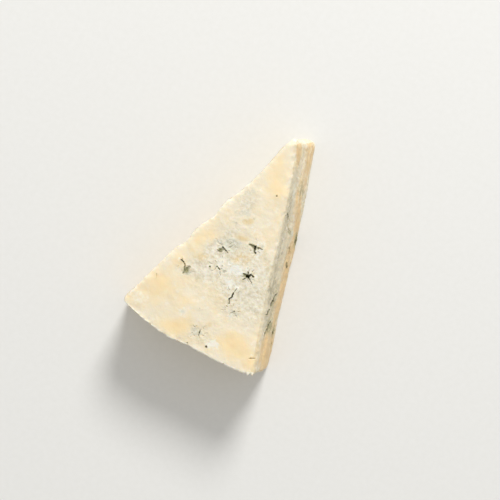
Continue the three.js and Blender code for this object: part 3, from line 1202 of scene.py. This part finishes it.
CUT_CHALK = (
    Patch((12.0, 24.5), (9.0, 1.5), 0.4),
    Patch((8.0, 2.0), (8.0, 3.4), 0.8),
    Patch((33.0, 29.0), (8.0, 4.0), 0.8),
    Patch((54.0, 16.0), (4.0, 2.0), 0.9, 60.0),
    Patch((65.0, 35.0), (7.0, 6.0), 0.6),
    Patch((104.0, 31.0), (4.0, 5.0), 0.6),
)
CUT_OLIVE = (
    Patch((28.5, 13.0), (4.0, 3.0), 0.6),
    Patch((28.0, 19.5), (9.0, 3.4), 0.6),
    Patch((94.0, 23.5), (16.0, 4.0), 0.5),
    Patch((108.0, 22.0), (5.0, 9.0), 0.6),
    Patch((55.0, 6.0), (7.0, 4.5), 0.65),
    Patch((103.0, 9.0), (8.0, 4.0), 0.35),
    Patch((52.0, 25.0), (9.0, 1.4), 0.6, 58.0),
    Patch((56.5, 3.5), (3.5, 2.2), 0.8),
    Patch((62.5, 15.0), (1.6, 2.6), 0.6),
    Patch((71.5, 13.0), (2.2, 2.6), 0.6),
    Patch((67.0, 11.0), (2.2, 1.6), 0.5),
    Patch((109.0, 9.5), (3.0, 5.0), 0.75),
    Patch((116.0, 7.5), (4.4, 1.8), 0.5),
    Patch((46.0, 33.5), (2.6, 2.2), 0.6),
)

# Butter-yellow and brown stains, powdery bloom, mould and olive margins on the top, and the stretches
# of it that are ripe and open, painted lighter where the left corner is lit, or dragged by the knife.
BUTTER = (
    Patch((0.0, 24.0), (12.0, 7.0), 0.6, 112.0),
    Patch((6.0, 34.5), (7.0, 6.0), 0.7),
    Patch((-13.0, 72.0), (7.0, 5.0), 0.5),
    Patch((-19.0, 77.0), (7.0, 4.0), 0.6, 50.0),
    Patch((-27.5, 109.0), (9.5, 9.0), 0.8, 40.0),
    Patch((-23.5, 91.5), (4.5, 7.5), 0.6),
    Patch((-9.0, 110.5), (8.0, 4.0), 0.45),
    Patch((18.5, 103.0), (3.0, 3.0), 0.4),
    Patch((-33.0, 121.0), (9.0, 7.0), 0.35),
    Patch((0.7, 66.0), (5.5, 3.0), 0.4),
    Patch((-8.0, 125.0), (12.0, 5.0), 0.9, 20.0),
    Patch((24.1, 119.5), (9.5, 8.5), 0.9),
    Patch((38.0, 122.0), (6.0, 6.0), 0.9),
)
RIPE = (
    Patch((4.9, 76.8), (6.5, 3.8), 0.9, 15.0),
    Patch((-1.2, 57.4), (3.4, 1.8), 0.8, 35.0),
    Patch((0.8, 56.0), (1.8, 2.4), 0.7),
    Patch((20.0, 73.0), (4.5, 5.5), 0.6),
    Patch((1.3, 66.3), (6.5, 2.2), 0.7, 17.0),
    Patch((8.9, 72.6), (2.5, 2.5), 0.5),
    Patch((13.8, 109.7), (5.0, 3.0), 0.5),
    Patch((7.6, 116.0), (3.0, 2.4), 0.6),
    Patch((7.2, 101.2), (5.0, 3.0), 0.5),
    Patch((-12.5, 85.5), (6.5, 3.2), 0.75, 20.0),
    Patch((30.0, 93.4), (4.0, 4.0), 0.5),
    Patch((-22.0, 84.0), (4.0, 3.0), 0.5),
)
BLOOM = (
    Patch((2.8, 57.8), (4.5, 4.0), 0.6),
    Patch((14.0, 124.8), (5.0, 4.0), 0.85),
    Patch((-8.2, 116.8), (4.5, 3.4), 0.7),
    Patch((-2.6, 82.9), (10.0, 6.0), 0.6),
    Patch((9.9, 79.9), (7.0, 5.0), 0.55),
    Patch((8.2, 91.6), (6.0, 4.0), 0.8),
    Patch((6.3, 83.3), (4.0, 3.0), 0.8),
    Patch((14.0, 97.5), (3.5, 2.5), 0.5),
    Patch((-0.5, 75.2), (4.0, 3.0), 0.6),
    Patch((35.4, 119.4), (2.4, 1.0), 0.6, 30.0),
    Patch((11.5, 63.6), (5.0, 4.0), 0.6),
    Patch((12.8, 69.4), (4.5, 3.4), 0.8),
    Patch((-12.5, 92.2), (4.0, 3.4), 0.55),
    Patch((29.9, 104.0), (6.0, 5.0), 0.45),
)
MOULD = (
    Patch((-7.4, 42.4), (5.5, 3.8), 0.66, 20.0),
    Patch((-5.0, 54.2), (6.0, 3.2), 0.66, 20.0),
    Patch((-4.0, 71.4), (5.0, 3.6), 0.85),
    Patch((-10.3, 74.4), (3.6, 2.6), 0.7),
    Patch((-17.2, 96.4), (3.0, 1.8), 0.9, 120.0),
    Patch((-17.6, 103.8), (3.0, 2.6), 0.5),
    Patch((16.3, 104.0), (4.8, 3.8), 0.75),
    Patch((2.6, 122.6), (5.2, 4.4), 0.75),
    Patch((1.0, 87.4), (3.4, 2.4), 0.6),
    Patch((2.2, 84.6), (2.5, 2.0), 0.6),
    Patch((-15.5, 96.2), (3.0, 2.0), 0.7),
    Patch((-8.0, 116.2), (3.2, 2.4), 0.6),
    Patch((1.0, 69.3), (3.0, 2.0), 0.6),
    Patch((0.3, 72.4), (2.2, 1.5), 0.8),
    Patch((12.6, 65.2), (2.8, 1.8), 0.8),
)
OLIVE = (
    Patch((-6.3, 77.4), (1.9, 1.3), 0.9, 20.0),
    Patch((7.5, 67.2), (2.6, 1.1), 0.9),
    Patch((12.2, 66.6), (1.8, 0.8), 0.6),
    Patch((-17.6, 95.8), (1.9, 2.6), 0.95),
    Patch((12.0, 83.2), (2.4, 1.3), 0.8),
    Patch((1.6, 54.1), (1.0, 1.3), 0.45),
)
# their greyer tint is partly painted shade of the rough relief
OPEN_CURD = (
    Patch((11.9, 86.0), (17.0, 19.0), 0.9),
    Patch((-12.0, 93.0), (9.0, 6.0), 0.7),
    Patch((25.5, 91.5), (10.0, 15.0), 0.62),
    Patch((-6.0, 72.0), (10.0, 14.0), 0.6),
    Patch((-6.0, 48.0), (6.0, 10.0), 0.6),
    Patch((-11.0, 81.0), (4.0, 4.0), 0.7),
    Patch((6.0, 123.0), (9.0, 6.0), 0.6),
)
# painted light: the left corner of the top is made paler where it faces the light
PAINTED_LIGHT_CORNER = (Patch((-33.0, 121.0), (9.0, 7.0), 0.55),)
DRAGGED = (
    Patch((24.0, 91.0), (9.0, 14.0), 0.6),
    Patch((-4.0, 62.0), (9.0, 8.0), 0.6),
)


@dataclass(frozen=True)
class LeftPockets:
    """Mouldy pockets that the left-hand cut runs through: bent splits of many sizes and turns.

    A pair of values is the least and the most. The corners of a split are shares of its reach.
    """

    count: int = 11
    out: Pair = (26.0, 124.0)
    up: Pair = (9.0, 32.0)
    reach: Pair = (1.2, 4.6)
    width: Pair = (0.7, 1.6)
    turn: float = 25.0
    sway: float = 35.0
    bend: float = 0.25
    corners: tuple[float, ...] = (-1.0, -0.4, 0.3, 1.0)

    def spread(self) -> tuple[Opening, ...]:
        """Spreads the pockets by golden steps, so that no two line up.

        Returns:
            The pockets, from the tip to the rind.
        """
        found = []
        for index in range(self.count):
            place = (between(self.out, (index + 0.5) / self.count), between(self.up, golden(index)))
            reach = between(self.reach, golden(index, power=2))
            turn = math.radians(self.turn + self.sway * math.sin(index))
            way = np.array((math.cos(turn), math.sin(turn)))
            bend = np.array((-way[1], way[0])) * self.bend * reach
            line = tuple(tuple(step * reach * way + abs(step) * bend) for step in self.corners)
            width = between(self.width, golden(index, start=0.3))
            stroke = Stroke(line, width, end=0.2, depth=1.0, dark=0.55, widest=0.5)
            rags = {"raggedness": 0.6, "rag_size": 2.4, "unevenness": 0.9}
            found.append(Opening(Face.LEFT_CUT, place, (stroke,), halo=2.2, hairs=4, **rags))
        return tuple(found)


@dataclass(frozen=True)
class RindPits:
    """Small pits over the rind, each with a smaller one beside it. A pair is the least and the most."""

    count: int = 13
    share_of_rind: float = 0.92
    up: Pair = (5.0, 35.0)
    radius: Pair = (0.25, 0.7)

    def spread(self, form: WedgeForm) -> tuple[Opening, ...]:
        """Spreads the pits by golden steps, so that no two line up.

        Args:
            form: the wedge that the rind is on.

        Returns:
            The pits, from the base to the top.
        """
        half = self.share_of_rind * form.wheel_radius * form.angle / 2
        found = []
        for index in range(self.count):
            around = between((-half, half), golden(index, power=2, start=0.1))
            up = between(self.up, (index + 0.5) / self.count)
            radius = between(self.radius, golden(index) ** 2)
            pits = (dot(0.0, 0.0, radius, 0.8, 0.5), dot(1.1, 0.7, 0.5 * radius, 0.4, 0.3))
            found.append(Opening(Face.RIND, (around, up), pits, halo=1.0, hairs=1, raggedness=0.5))
        return tuple(found)


@dataclass(frozen=True)
class Staining:
    """Where each colour lies on a wedge, by how far it is from edges, patches and openings.

    A pair of values is where something starts and where it is full, or how far the paleness of an edge runs
    in and down. A sway is a cut, and how far its patches are shifted about along it and up it.
    """

    form: WedgeForm
    sways: tuple[tuple[Face, float, float], ...] = (
        (Face.LEFT_CUT, 14.0, 8.0),
        (Face.RIGHT_CUT, 1.5, 2.0),
    )
    sway_size: float = 15.0
    sway_seed: float = 2.4
    brow_stain: Pair = (1.1, 2.4)
    brow_out: Pair = (55.0, 90.0)
    stain_blur: float = 1.1
    # painted highlight: the left cut keeps none of its stains just under the lit top edge
    left_brow: float = 3.0
    left_brow_pale: float = 0.8
    # painted highlight: a pale cap over the tip's rounded end, where the cut stains also stop
    tip_cap: Pair = (0.52, 2.6)
    tip_cap_pale: Pair = (0.2, 0.6)
    tip_cap_drop: float = 8.0
    tip_stain: Pair = (8.0, 20.0)
    tip_stain_share: float = 0.6
    rind_rim: Pair = (0.9, 1.4)
    rind_below: Pair = (0.8, 3.2)
    left_rim: Pair = (1.2, 2.0)
    left_rim_share: float = 0.7
    paste_level: float = 0.5
    halo_mould: float = 0.6
    # white ring on each opening's lip: bloom, partly painted highlight
    halo_bloom_and_highlight: float = 0.75
    lip_highlight_ring: float = 1.1
    lip_highlight_width: float = 0.9
    tear_margin: float = 0.4

    def cut_stain(
        self, patches: tuple[Patch, ...], points: np.ndarray, cut: dict[Face, np.ndarray]
    ) -> np.ndarray:
        """Lays patches over both knife cuts, and shifts them about on the left one so that the two differ.

        Args:
            patches: the patches, by their places out and up.
            points: places on the skin, in millimetres.
            cut: for each cut, how much each point belongs to it.

        Returns:
            One strength for each point, from 0 to 1.
        """
        sway = noise_at(points, self.sway_size, self.sway_seed)
        flat = np.column_stack([self.form.out_along_cut(points), -points[:, 2]])
        laid = 0
        for face, along, upward in self.sways:
            laid = laid + cut[face] * patched(patches, flat + np.column_stack([along * sway, upward * sway]))
        return np.clip(laid, 0, 1)

    def under_cap(self, points: np.ndarray) -> np.ndarray:
        """Gives how far each point is past the painted highlight cap at the tip, from 0 on it to 1."""
        return smoothstep(*self.tip_cap, self.form.depths(points)[Face.TIP])

    def cut_shares(self, points: np.ndarray) -> dict[Face, np.ndarray]:
        """Gives how strongly the stains of the knife cuts show, which starts a little below the top.

        Args:
            points: places on the skin, in millimetres.

        Returns:
            For each cut, one share for each point.
        """
        depth = self.form.depths(points)
        # painted highlight along the left cut's top edge
        pale = self.left_brow_pale * bell(depth[Face.TOP], self.left_brow)
        brow = between(self.brow_stain, smoothstep(*self.brow_out, self.form.out_along_cut(points)))
        stained = smoothstep(0, -self.stain_blur, depth[Face.RIGHT_CUT] - brow)
        return {
            Face.LEFT_CUT: self.form.face_weights(points)[Face.LEFT_CUT] * (1 - pale),
            Face.RIGHT_CUT: self.under_cap(points) * stained,
        }

    def pale_edges_and_painted_highlights(self, points: np.ndarray) -> np.ndarray:
        """Gives the painted highlight along the left edge of the top, at its left corner and on the tip, and
        the paler dry top edge of the rind.

        Args:
            points: places on the skin, in millimetres.

        Returns:
            One strength for each point.
        """
        depth = self.form.depths(points)
        shares = {Face.RIND: (1.0, *self.rind_rim), Face.LEFT_CUT: (self.left_rim_share, *self.left_rim)}
        # painted light on the left corner of the top
        pale = self.form.face_weights(points)[Face.TOP] * patched(PAINTED_LIGHT_CORNER, points)
        # the rind's share is its paler dry edge; the left cut's share is painted highlight along the lit edge
        for face, (share, inward, downward) in shares.items():
            pale += share * bell(depth[face], inward) * bell(depth[Face.TOP], downward)
        # painted highlight over the tip's rounded cap
        cap = between(self.tip_cap_pale, bell(depth[Face.TOP], self.tip_cap_drop))
        return pale + (1 - self.under_cap(points)) * cap

    def halo_marks(self, opening: Opening, gap: Gap) -> dict[str, np.ndarray]:
        """Gives the colours in and round an opening.

        Args:
            opening: the opening.
            gap: what the opening reaches.

        Returns:
            For each attribute, one strength for each point that the opening reaches.
        """
        outside = np.maximum(gap.distance, 0)
        return {
            "mould": self.halo_mould * gap.dark * bell(outside, opening.halo),
            # bloom ring on the lip round the opening, partly painted highlight
            "bloom_and_lip_highlight": self.halo_bloom_and_highlight * gap.dark * bell(outside - self.lip_highlight_ring, self.lip_highlight_width),
            "tear_edge": gap.dark * bell(outside, self.tear_margin),
            "tear": gap.lining,
        }

    def strengths(self, points: np.ndarray, gaps: list[tuple[Opening, Gap]]) -> dict[str, np.ndarray]:
        """Gives how strongly each colour shows.

        Args:
            points: places on the skin before it is torn, in millimetres.
            gaps: each opening with what it reaches.

        Returns:
            For each attribute that the paste's finish reads, one strength for each point.
        """
        weights = self.form.face_weights(points)
        below_top = self.form.depths(points)[Face.TOP]
        cut = self.cut_shares(points)
        on_tip = self.tip_stain_share * weights[Face.TIP] * smoothstep(*self.tip_stain, below_top)
        spots = {"open_curd_and_shade": OPEN_CURD, "butter": BUTTER, "ripe": RIPE, "bloom_and_lip_highlight": BLOOM, "mould": MOULD}
        stains = {name: weights[Face.TOP] * patched(patches, points) for name, patches in spots.items()}
        stains["bloom_and_lip_highlight"] *= 1 - patched(RIPE, points)
        stains |= {
            "paste": np.full(len(points), self.paste_level),
            "olive": weights[Face.TOP] * patched(OLIVE, points) + self.cut_stain(CUT_OLIVE, points, cut),
            "veined": self.cut_stain(CUT_GREY, points, cut),
            "tan": self.cut_stain(CUT_TAN, points, cut),
            "chalk": self.cut_stain(CUT_CHALK, points, cut),
            "rind": weights[Face.RIND] * smoothstep(*self.rind_below, below_top),
            "cut": np.maximum(sum(cut.values()), on_tip),
            # painted highlight on the lit edges and tip, with the rind's paler dry edge
            "dry_edge_and_painted_highlight": self.pale_edges_and_painted_highlights(points),
            "tear": np.zeros(len(points)),
            "tear_edge": np.zeros(len(points)),
        }
        for opening, gap in gaps:
            for name, mark in self.halo_marks(opening, gap).items():
                stains[name][gap.index] = np.maximum(stains[name][gap.index], mark)
        return stains


@dataclass
class CheeseWedge:
    """The wedge: its form, the relief of its curd, its openings and its colours.

    The relief starts and is full at the foot's two heights above the base. The skin is split further within
    each of the torn reaches outside and inside a torn edge.
    """

    name: str = "blue_cheese_wedge"
    form: WedgeForm = WedgeForm()
    pockets: LeftPockets = LeftPockets()
    pits: RindPits = RindPits()
    foot: Pair = (0.2, 4.0)
    bare_roughness: float = 0.48
    open_roughness: float = 0.85
    butter_smoothness: float = 0.4
    least_roughness: float = 0.1
    edge_peak: float = 4.0
    torn_reach: float = 5.0
    torn_reaches: tuple[Pair, ...] = ((0.8, 9.0), (0.3, 0.6))
    least_share: float = 0.2
    lip_height: float = 0.3
    lip_width: float = 0.9
    flake_root: float = 3.0
    flake_drop: float = 1.6
    flake_least: float = 0.02
    layers: tuple[ReliefLayer, ...] = (
        ReliefLayer("slump", Grain.SOFT, 34.0, 1.6, SKIN),
        ReliefLayer("lumps", Grain.SOFT, 14.0, 1.3, SKIN, flatness=0.5, octaves=2),
        ReliefLayer("curd", Grain.SOFT, 5.0, 0.9, SKIN, Zone.OPEN, flatness=0.6, octaves=2),
        ReliefLayer("bedding", Grain.SOFT, 24.0, 1.3, (Face.RIGHT_CUT,), flatness=0.1),
        ReliefLayer("hidden bedding", Grain.SOFT, 24.0, 1.3, (Face.LEFT_CUT,), flatness=0.1, level=0.8),
        ReliefLayer("crumb", Grain.BROKEN, 3.0, 0.5, CUTS, flatness=0.6),
        ReliefLayer("dimples", Grain.SOFT, 2.2, 0.32, (Face.TOP, Face.RIND), Zone.OPEN, octaves=2),
        ReliefLayer("drag marks", Grain.SOFT, 2.2, 0.5, (Face.TOP,), Zone.DRAGGED, stretch=4.0, turn=11.0),
        ReliefLayer("crackle", Grain.BROKEN, 1.9, 0.5, (Face.TOP,), Zone.TORN),
        ReliefLayer("hoop marks", Grain.SOFT, 16.0, 0.5, (Face.RIND,), flatness=0.1),
        ReliefLayer("chips", Grain.BROKEN, 4.0, 0.9, SKIN, Zone.EDGES, level=0.7),
    )
    flakes: tuple[Flake, ...] = (
        Flake(16.6, 1.4, 0.8),
        Flake(17.7, 2.0, 0.9),
        Flake(10.5, -0.7, 0.8),
        Flake(-1.5, -0.5, 0.7),
        Flake(-9.0, -0.6, 0.9),
    )

    def zone_weights(self, points: np.ndarray) -> dict[Zone, np.ndarray]:
        """Gives how much each point belongs to each stretch of the surface.

        Args:
            points: places on the skin, in millimetres.

        Returns:
            For each zone, one weight from 0 to 1 for each point.
        """
        weights = self.form.face_weights(points)
        sides = weights[Face.LEFT_CUT] + weights[Face.RIGHT_CUT] + weights[Face.RIND]
        top = self.bare_roughness + self.open_roughness * patched(OPEN_CURD, points)
        top -= self.butter_smoothness * patched(BUTTER, points)
        return {
            Zone.ALL: np.ones(len(points)),
            Zone.OPEN: np.clip(1 + weights[Face.TOP] * (top - 1), self.least_roughness, 1.0),
            Zone.DRAGGED: patched(DRAGGED, points),
            Zone.EDGES: self.edge_peak * weights[Face.TOP] * sides,
            Zone.TORN: patched(self.torn_patches(), points),
        }

    def torn_patches(self) -> tuple[Patch, ...]:
        """Gives a soft patch round each of the openings in the top that have hair cracks."""
        reach = (self.torn_reach, self.torn_reach)
        return tuple(Patch(opening.place, reach) for opening in TOP_OPENINGS if opening.hairs)

    def roughen(self, piece: bpy.types.Object) -> None:
        """Raises each layer of relief, and leaves the base flat to stand on.

        Args:
            piece: the wedge with an even grid.
        """
        for seed, layer in enumerate(self.layers, start=1):
            points = read_points(piece)
            weights = self.form.face_weights(points)
            on_faces = sum(weights[face] for face in layer.faces)
            foot = smoothstep(*self.foot, points[:, 2])
            layer.raise_on(piece, foot * on_faces * self.zone_weights(points)[layer.zone], seed)

    def find_gaps(self, points: np.ndarray) -> list[tuple[Opening, Gap]]:
        """Finds what each opening reaches.

        Args:
            points: places on the skin, in millimetres.

        Returns:
            Each opening with its gap.
        """
        weights = self.form.face_weights(points)
        found = []
        for opening in TOP_OPENINGS + RIGHT_OPENINGS + self.pockets.spread() + self.pits.spread(self.form):
            offsets = opening.offsets(self.form, points)
            near = np.hypot(*offsets.T) < opening.span
            index = np.flatnonzero(near & (weights[opening.face] > self.least_share))
            found.append((opening, opening.gap(index, offsets[index])))
        return found

    def refine(self, piece: bpy.types.Object) -> None:
        """Splits the skin's cells round openings and flakes, and again along torn edges.

        Args:
            piece: the wedge with its relief.
        """
        for reach, inside in self.torn_reaches:
            points = read_faces(piece, "center") / MM - np.array(AXIS)
            chosen = np.zeros(len(points), bool)
            for _, gap in self.find_gaps(points):
                chosen[gap.index[(gap.distance < reach) & (gap.distance > -inside)]] = True
            for flake in self.flakes:
                chosen |= self.pulled(flake, points) > self.flake_least
            select_parts(piece, "FACE", chosen)
            bpy.ops.mesh.subdivide(number_cuts=1)
            bpy.ops.object.mode_set(mode="OBJECT")

    def pulled(self, flake: Flake, points: np.ndarray) -> np.ndarray:
        """Gives how much each point follows a flake.

        Args:
            flake: the thread or notch.
            points: places on the skin, in millimetres.

        Returns:
            One share for each point, from 0 to 1.
        """
        depth = self.form.depths(points)
        turn = turn_round_axis(points) - math.radians(flake.around)
        beside = np.abs(turn) * self.form.wheel_radius / flake.width
        on_edge = smoothstep(self.flake_root, 0.0, depth[Face.RIND]) * bell(depth[Face.TOP], self.flake_drop)
        return np.clip(1 - beside, 0, 1) * on_edge

    def fray(self, piece: bpy.types.Object) -> None:
        """Pulls the flakes out of the rind's top edge and pushes the notches into it.

        Args:
            piece: the wedge with its cells split.
        """
        points = read_points(piece)
        outward = points[:, :2] / out_from_axis(points)[:, None]
        for flake in self.flakes:
            points[:, :2] += outward * (flake.reach * self.pulled(flake, points))[:, None]
        write_points(piece, points)

    def inward(self, opening: Opening) -> np.ndarray:
        """Gives the way into the wedge at one of its openings.

        Args:
            opening: the opening to sink.

        Returns:
            A direction of length 1.
        """
        if opening.face is Face.TOP:
            return np.array((0.0, 0.0, -1.0))
        if opening.face is Face.RIND:
            turn = opening.place[0] / self.form.wheel_radius
            return np.array((-math.sin(turn), math.cos(turn), 0.0))
        return -np.array(self.form.knife_planes()[opening.face][1])

    def tear(self, piece: bpy.types.Object, points: np.ndarray, gaps: list[tuple[Opening, Gap]]) -> None:
        """Sinks each opening into its face, with a lip that curls up round it.

        Args:
            piece: the wedge.
            points: the wedge's vertices before it is torn.
            gaps: each opening with what it reaches.
        """
        torn = points.copy()
        for opening, gap in gaps:
            lip = self.lip_height * gap.dark * bell(gap.distance, self.lip_width)
            torn[gap.index] += np.outer(gap.sunk - lip, self.inward(opening))
        write_points(piece, torn)

    def stain(self, piece: bpy.types.Object, points: np.ndarray, gaps: list[tuple[Opening, Gap]]) -> None:
        """Writes where each colour lies to the mesh's own attributes.

        Args:
            piece: the wedge.
            points: the wedge's vertices before it was torn.
            gaps: each opening with what it reaches.
        """
        stains = Staining(self.form).strengths(points, gaps)
        stains["uneven"] = self.zone_weights(points)[Zone.OPEN]
        for name, values in stains.items():
            attribute = piece.data.attributes.new(name, "FLOAT", "POINT")
            attribute.data.foreach_set("value", values.astype(np.float32))

    def build(self) -> bpy.types.Object:
        """Models the wedge and hands it to the frame.

        Returns:
            The finished piece.
        """
        piece = self.form.cut_from_wheel(self.name)
        self.form.skin(piece)
        self.roughen(piece)
        self.refine(piece)
        self.fray(piece)
        points = read_points(piece)
        gaps = self.find_gaps(points)
        self.tear(piece, points, gaps)
        self.stain(piece, points, gaps)
        activate(piece)
        bpy.ops.object.shade_smooth()
        piece.data.materials.append(BlueCheesePaste().build())
        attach(piece, BODY)
        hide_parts(NODE)
        return piece


@dataclass(frozen=True)
class Studio:
    """A pale floor, one soft window light, an even sky, and a camera that looks straight down."""

    camera_height: float = 1000.0
    view_middle: Pair = (7.6, -70.0)
    view_turn: float = 28.57
    view_width: float = 281.8
    sensor: float = 36.0
    light_turn: float = 19.0
    light_rise: float = 38.0
    light_distance: float = 2400.0
    light_size: float = 840.0
    light_power: float = 46.0
    sky: float = 0.56
    floor_size: float = 4000.0
    floor_gap: float = 0.2

    def set_floor(self) -> None:
        """Lays the floor just under the wedge."""
        bpy.ops.object.select_all(action="DESELECT")
        bpy.ops.mesh.primitive_plane_add(size=self.floor_size * MM, location=(0, 0, -self.floor_gap * MM))
        floor = bpy.context.active_object
        floor.name = "floor"
        floor.data.materials.append(PaintedBoard().build())

    def set_light(self) -> None:
        """Hangs the window light and lights the sky."""
        turn = math.radians(self.view_turn + 90 - self.light_turn)
        rise = math.radians(self.light_rise)
        way = Vector((math.cos(turn) * math.cos(rise), math.sin(turn) * math.cos(rise), math.sin(rise)))
        bpy.ops.object.light_add(type="AREA", location=way * self.light_distance * MM)
        window = bpy.context.active_object
        window.name = "window"
        window.rotation_euler = way.to_track_quat("Z", "Y").to_euler()
        window.data.shape = "DISK"
        window.data.size = self.light_size * MM
        window.data.energy = self.light_power
        world = bpy.data.worlds.new("sky")
        world.use_nodes = True
        background = world.node_tree.nodes["Background"]
        background.inputs["Color"].default_value = (1.0, 1.0, 1.0, 1.0)
        background.inputs["Strength"].default_value = self.sky
        bpy.context.scene.world = world

    def set_camera(self) -> None:
        """Puts the camera above the wedge, turned as in the photograph."""
        middle = Vector((*self.view_middle, self.camera_height))
        turn = (0, 0, math.radians(self.view_turn))
        bpy.ops.object.camera_add(location=to_metres(middle), rotation=turn)
        camera = bpy.context.active_object
        camera.data.sensor_width = self.sensor
        camera.data.lens = self.sensor * self.camera_height / self.view_width
        bpy.context.scene.camera = camera

    def build(self) -> None:
        """Sets up the floor, the lights and the camera."""
        self.set_floor()
        self.set_light()
        self.set_camera()
        bpy.context.scene.view_settings.view_transform = "Standard"


def main() -> None:
    """Builds the wedge and the studio, and reports each piece."""
    logging.basicConfig(level=logging.INFO, format="%(name)s: %(message)s")
    noise.seed_set(RAG_SEED)
    piece = CheeseWedge().build()
    piece.data.calc_loop_triangles()
    log.info("%s: %d triangles", piece.name, len(piece.data.loop_triangles))
    Studio().build()


if __name__ == "__main__":
    main()
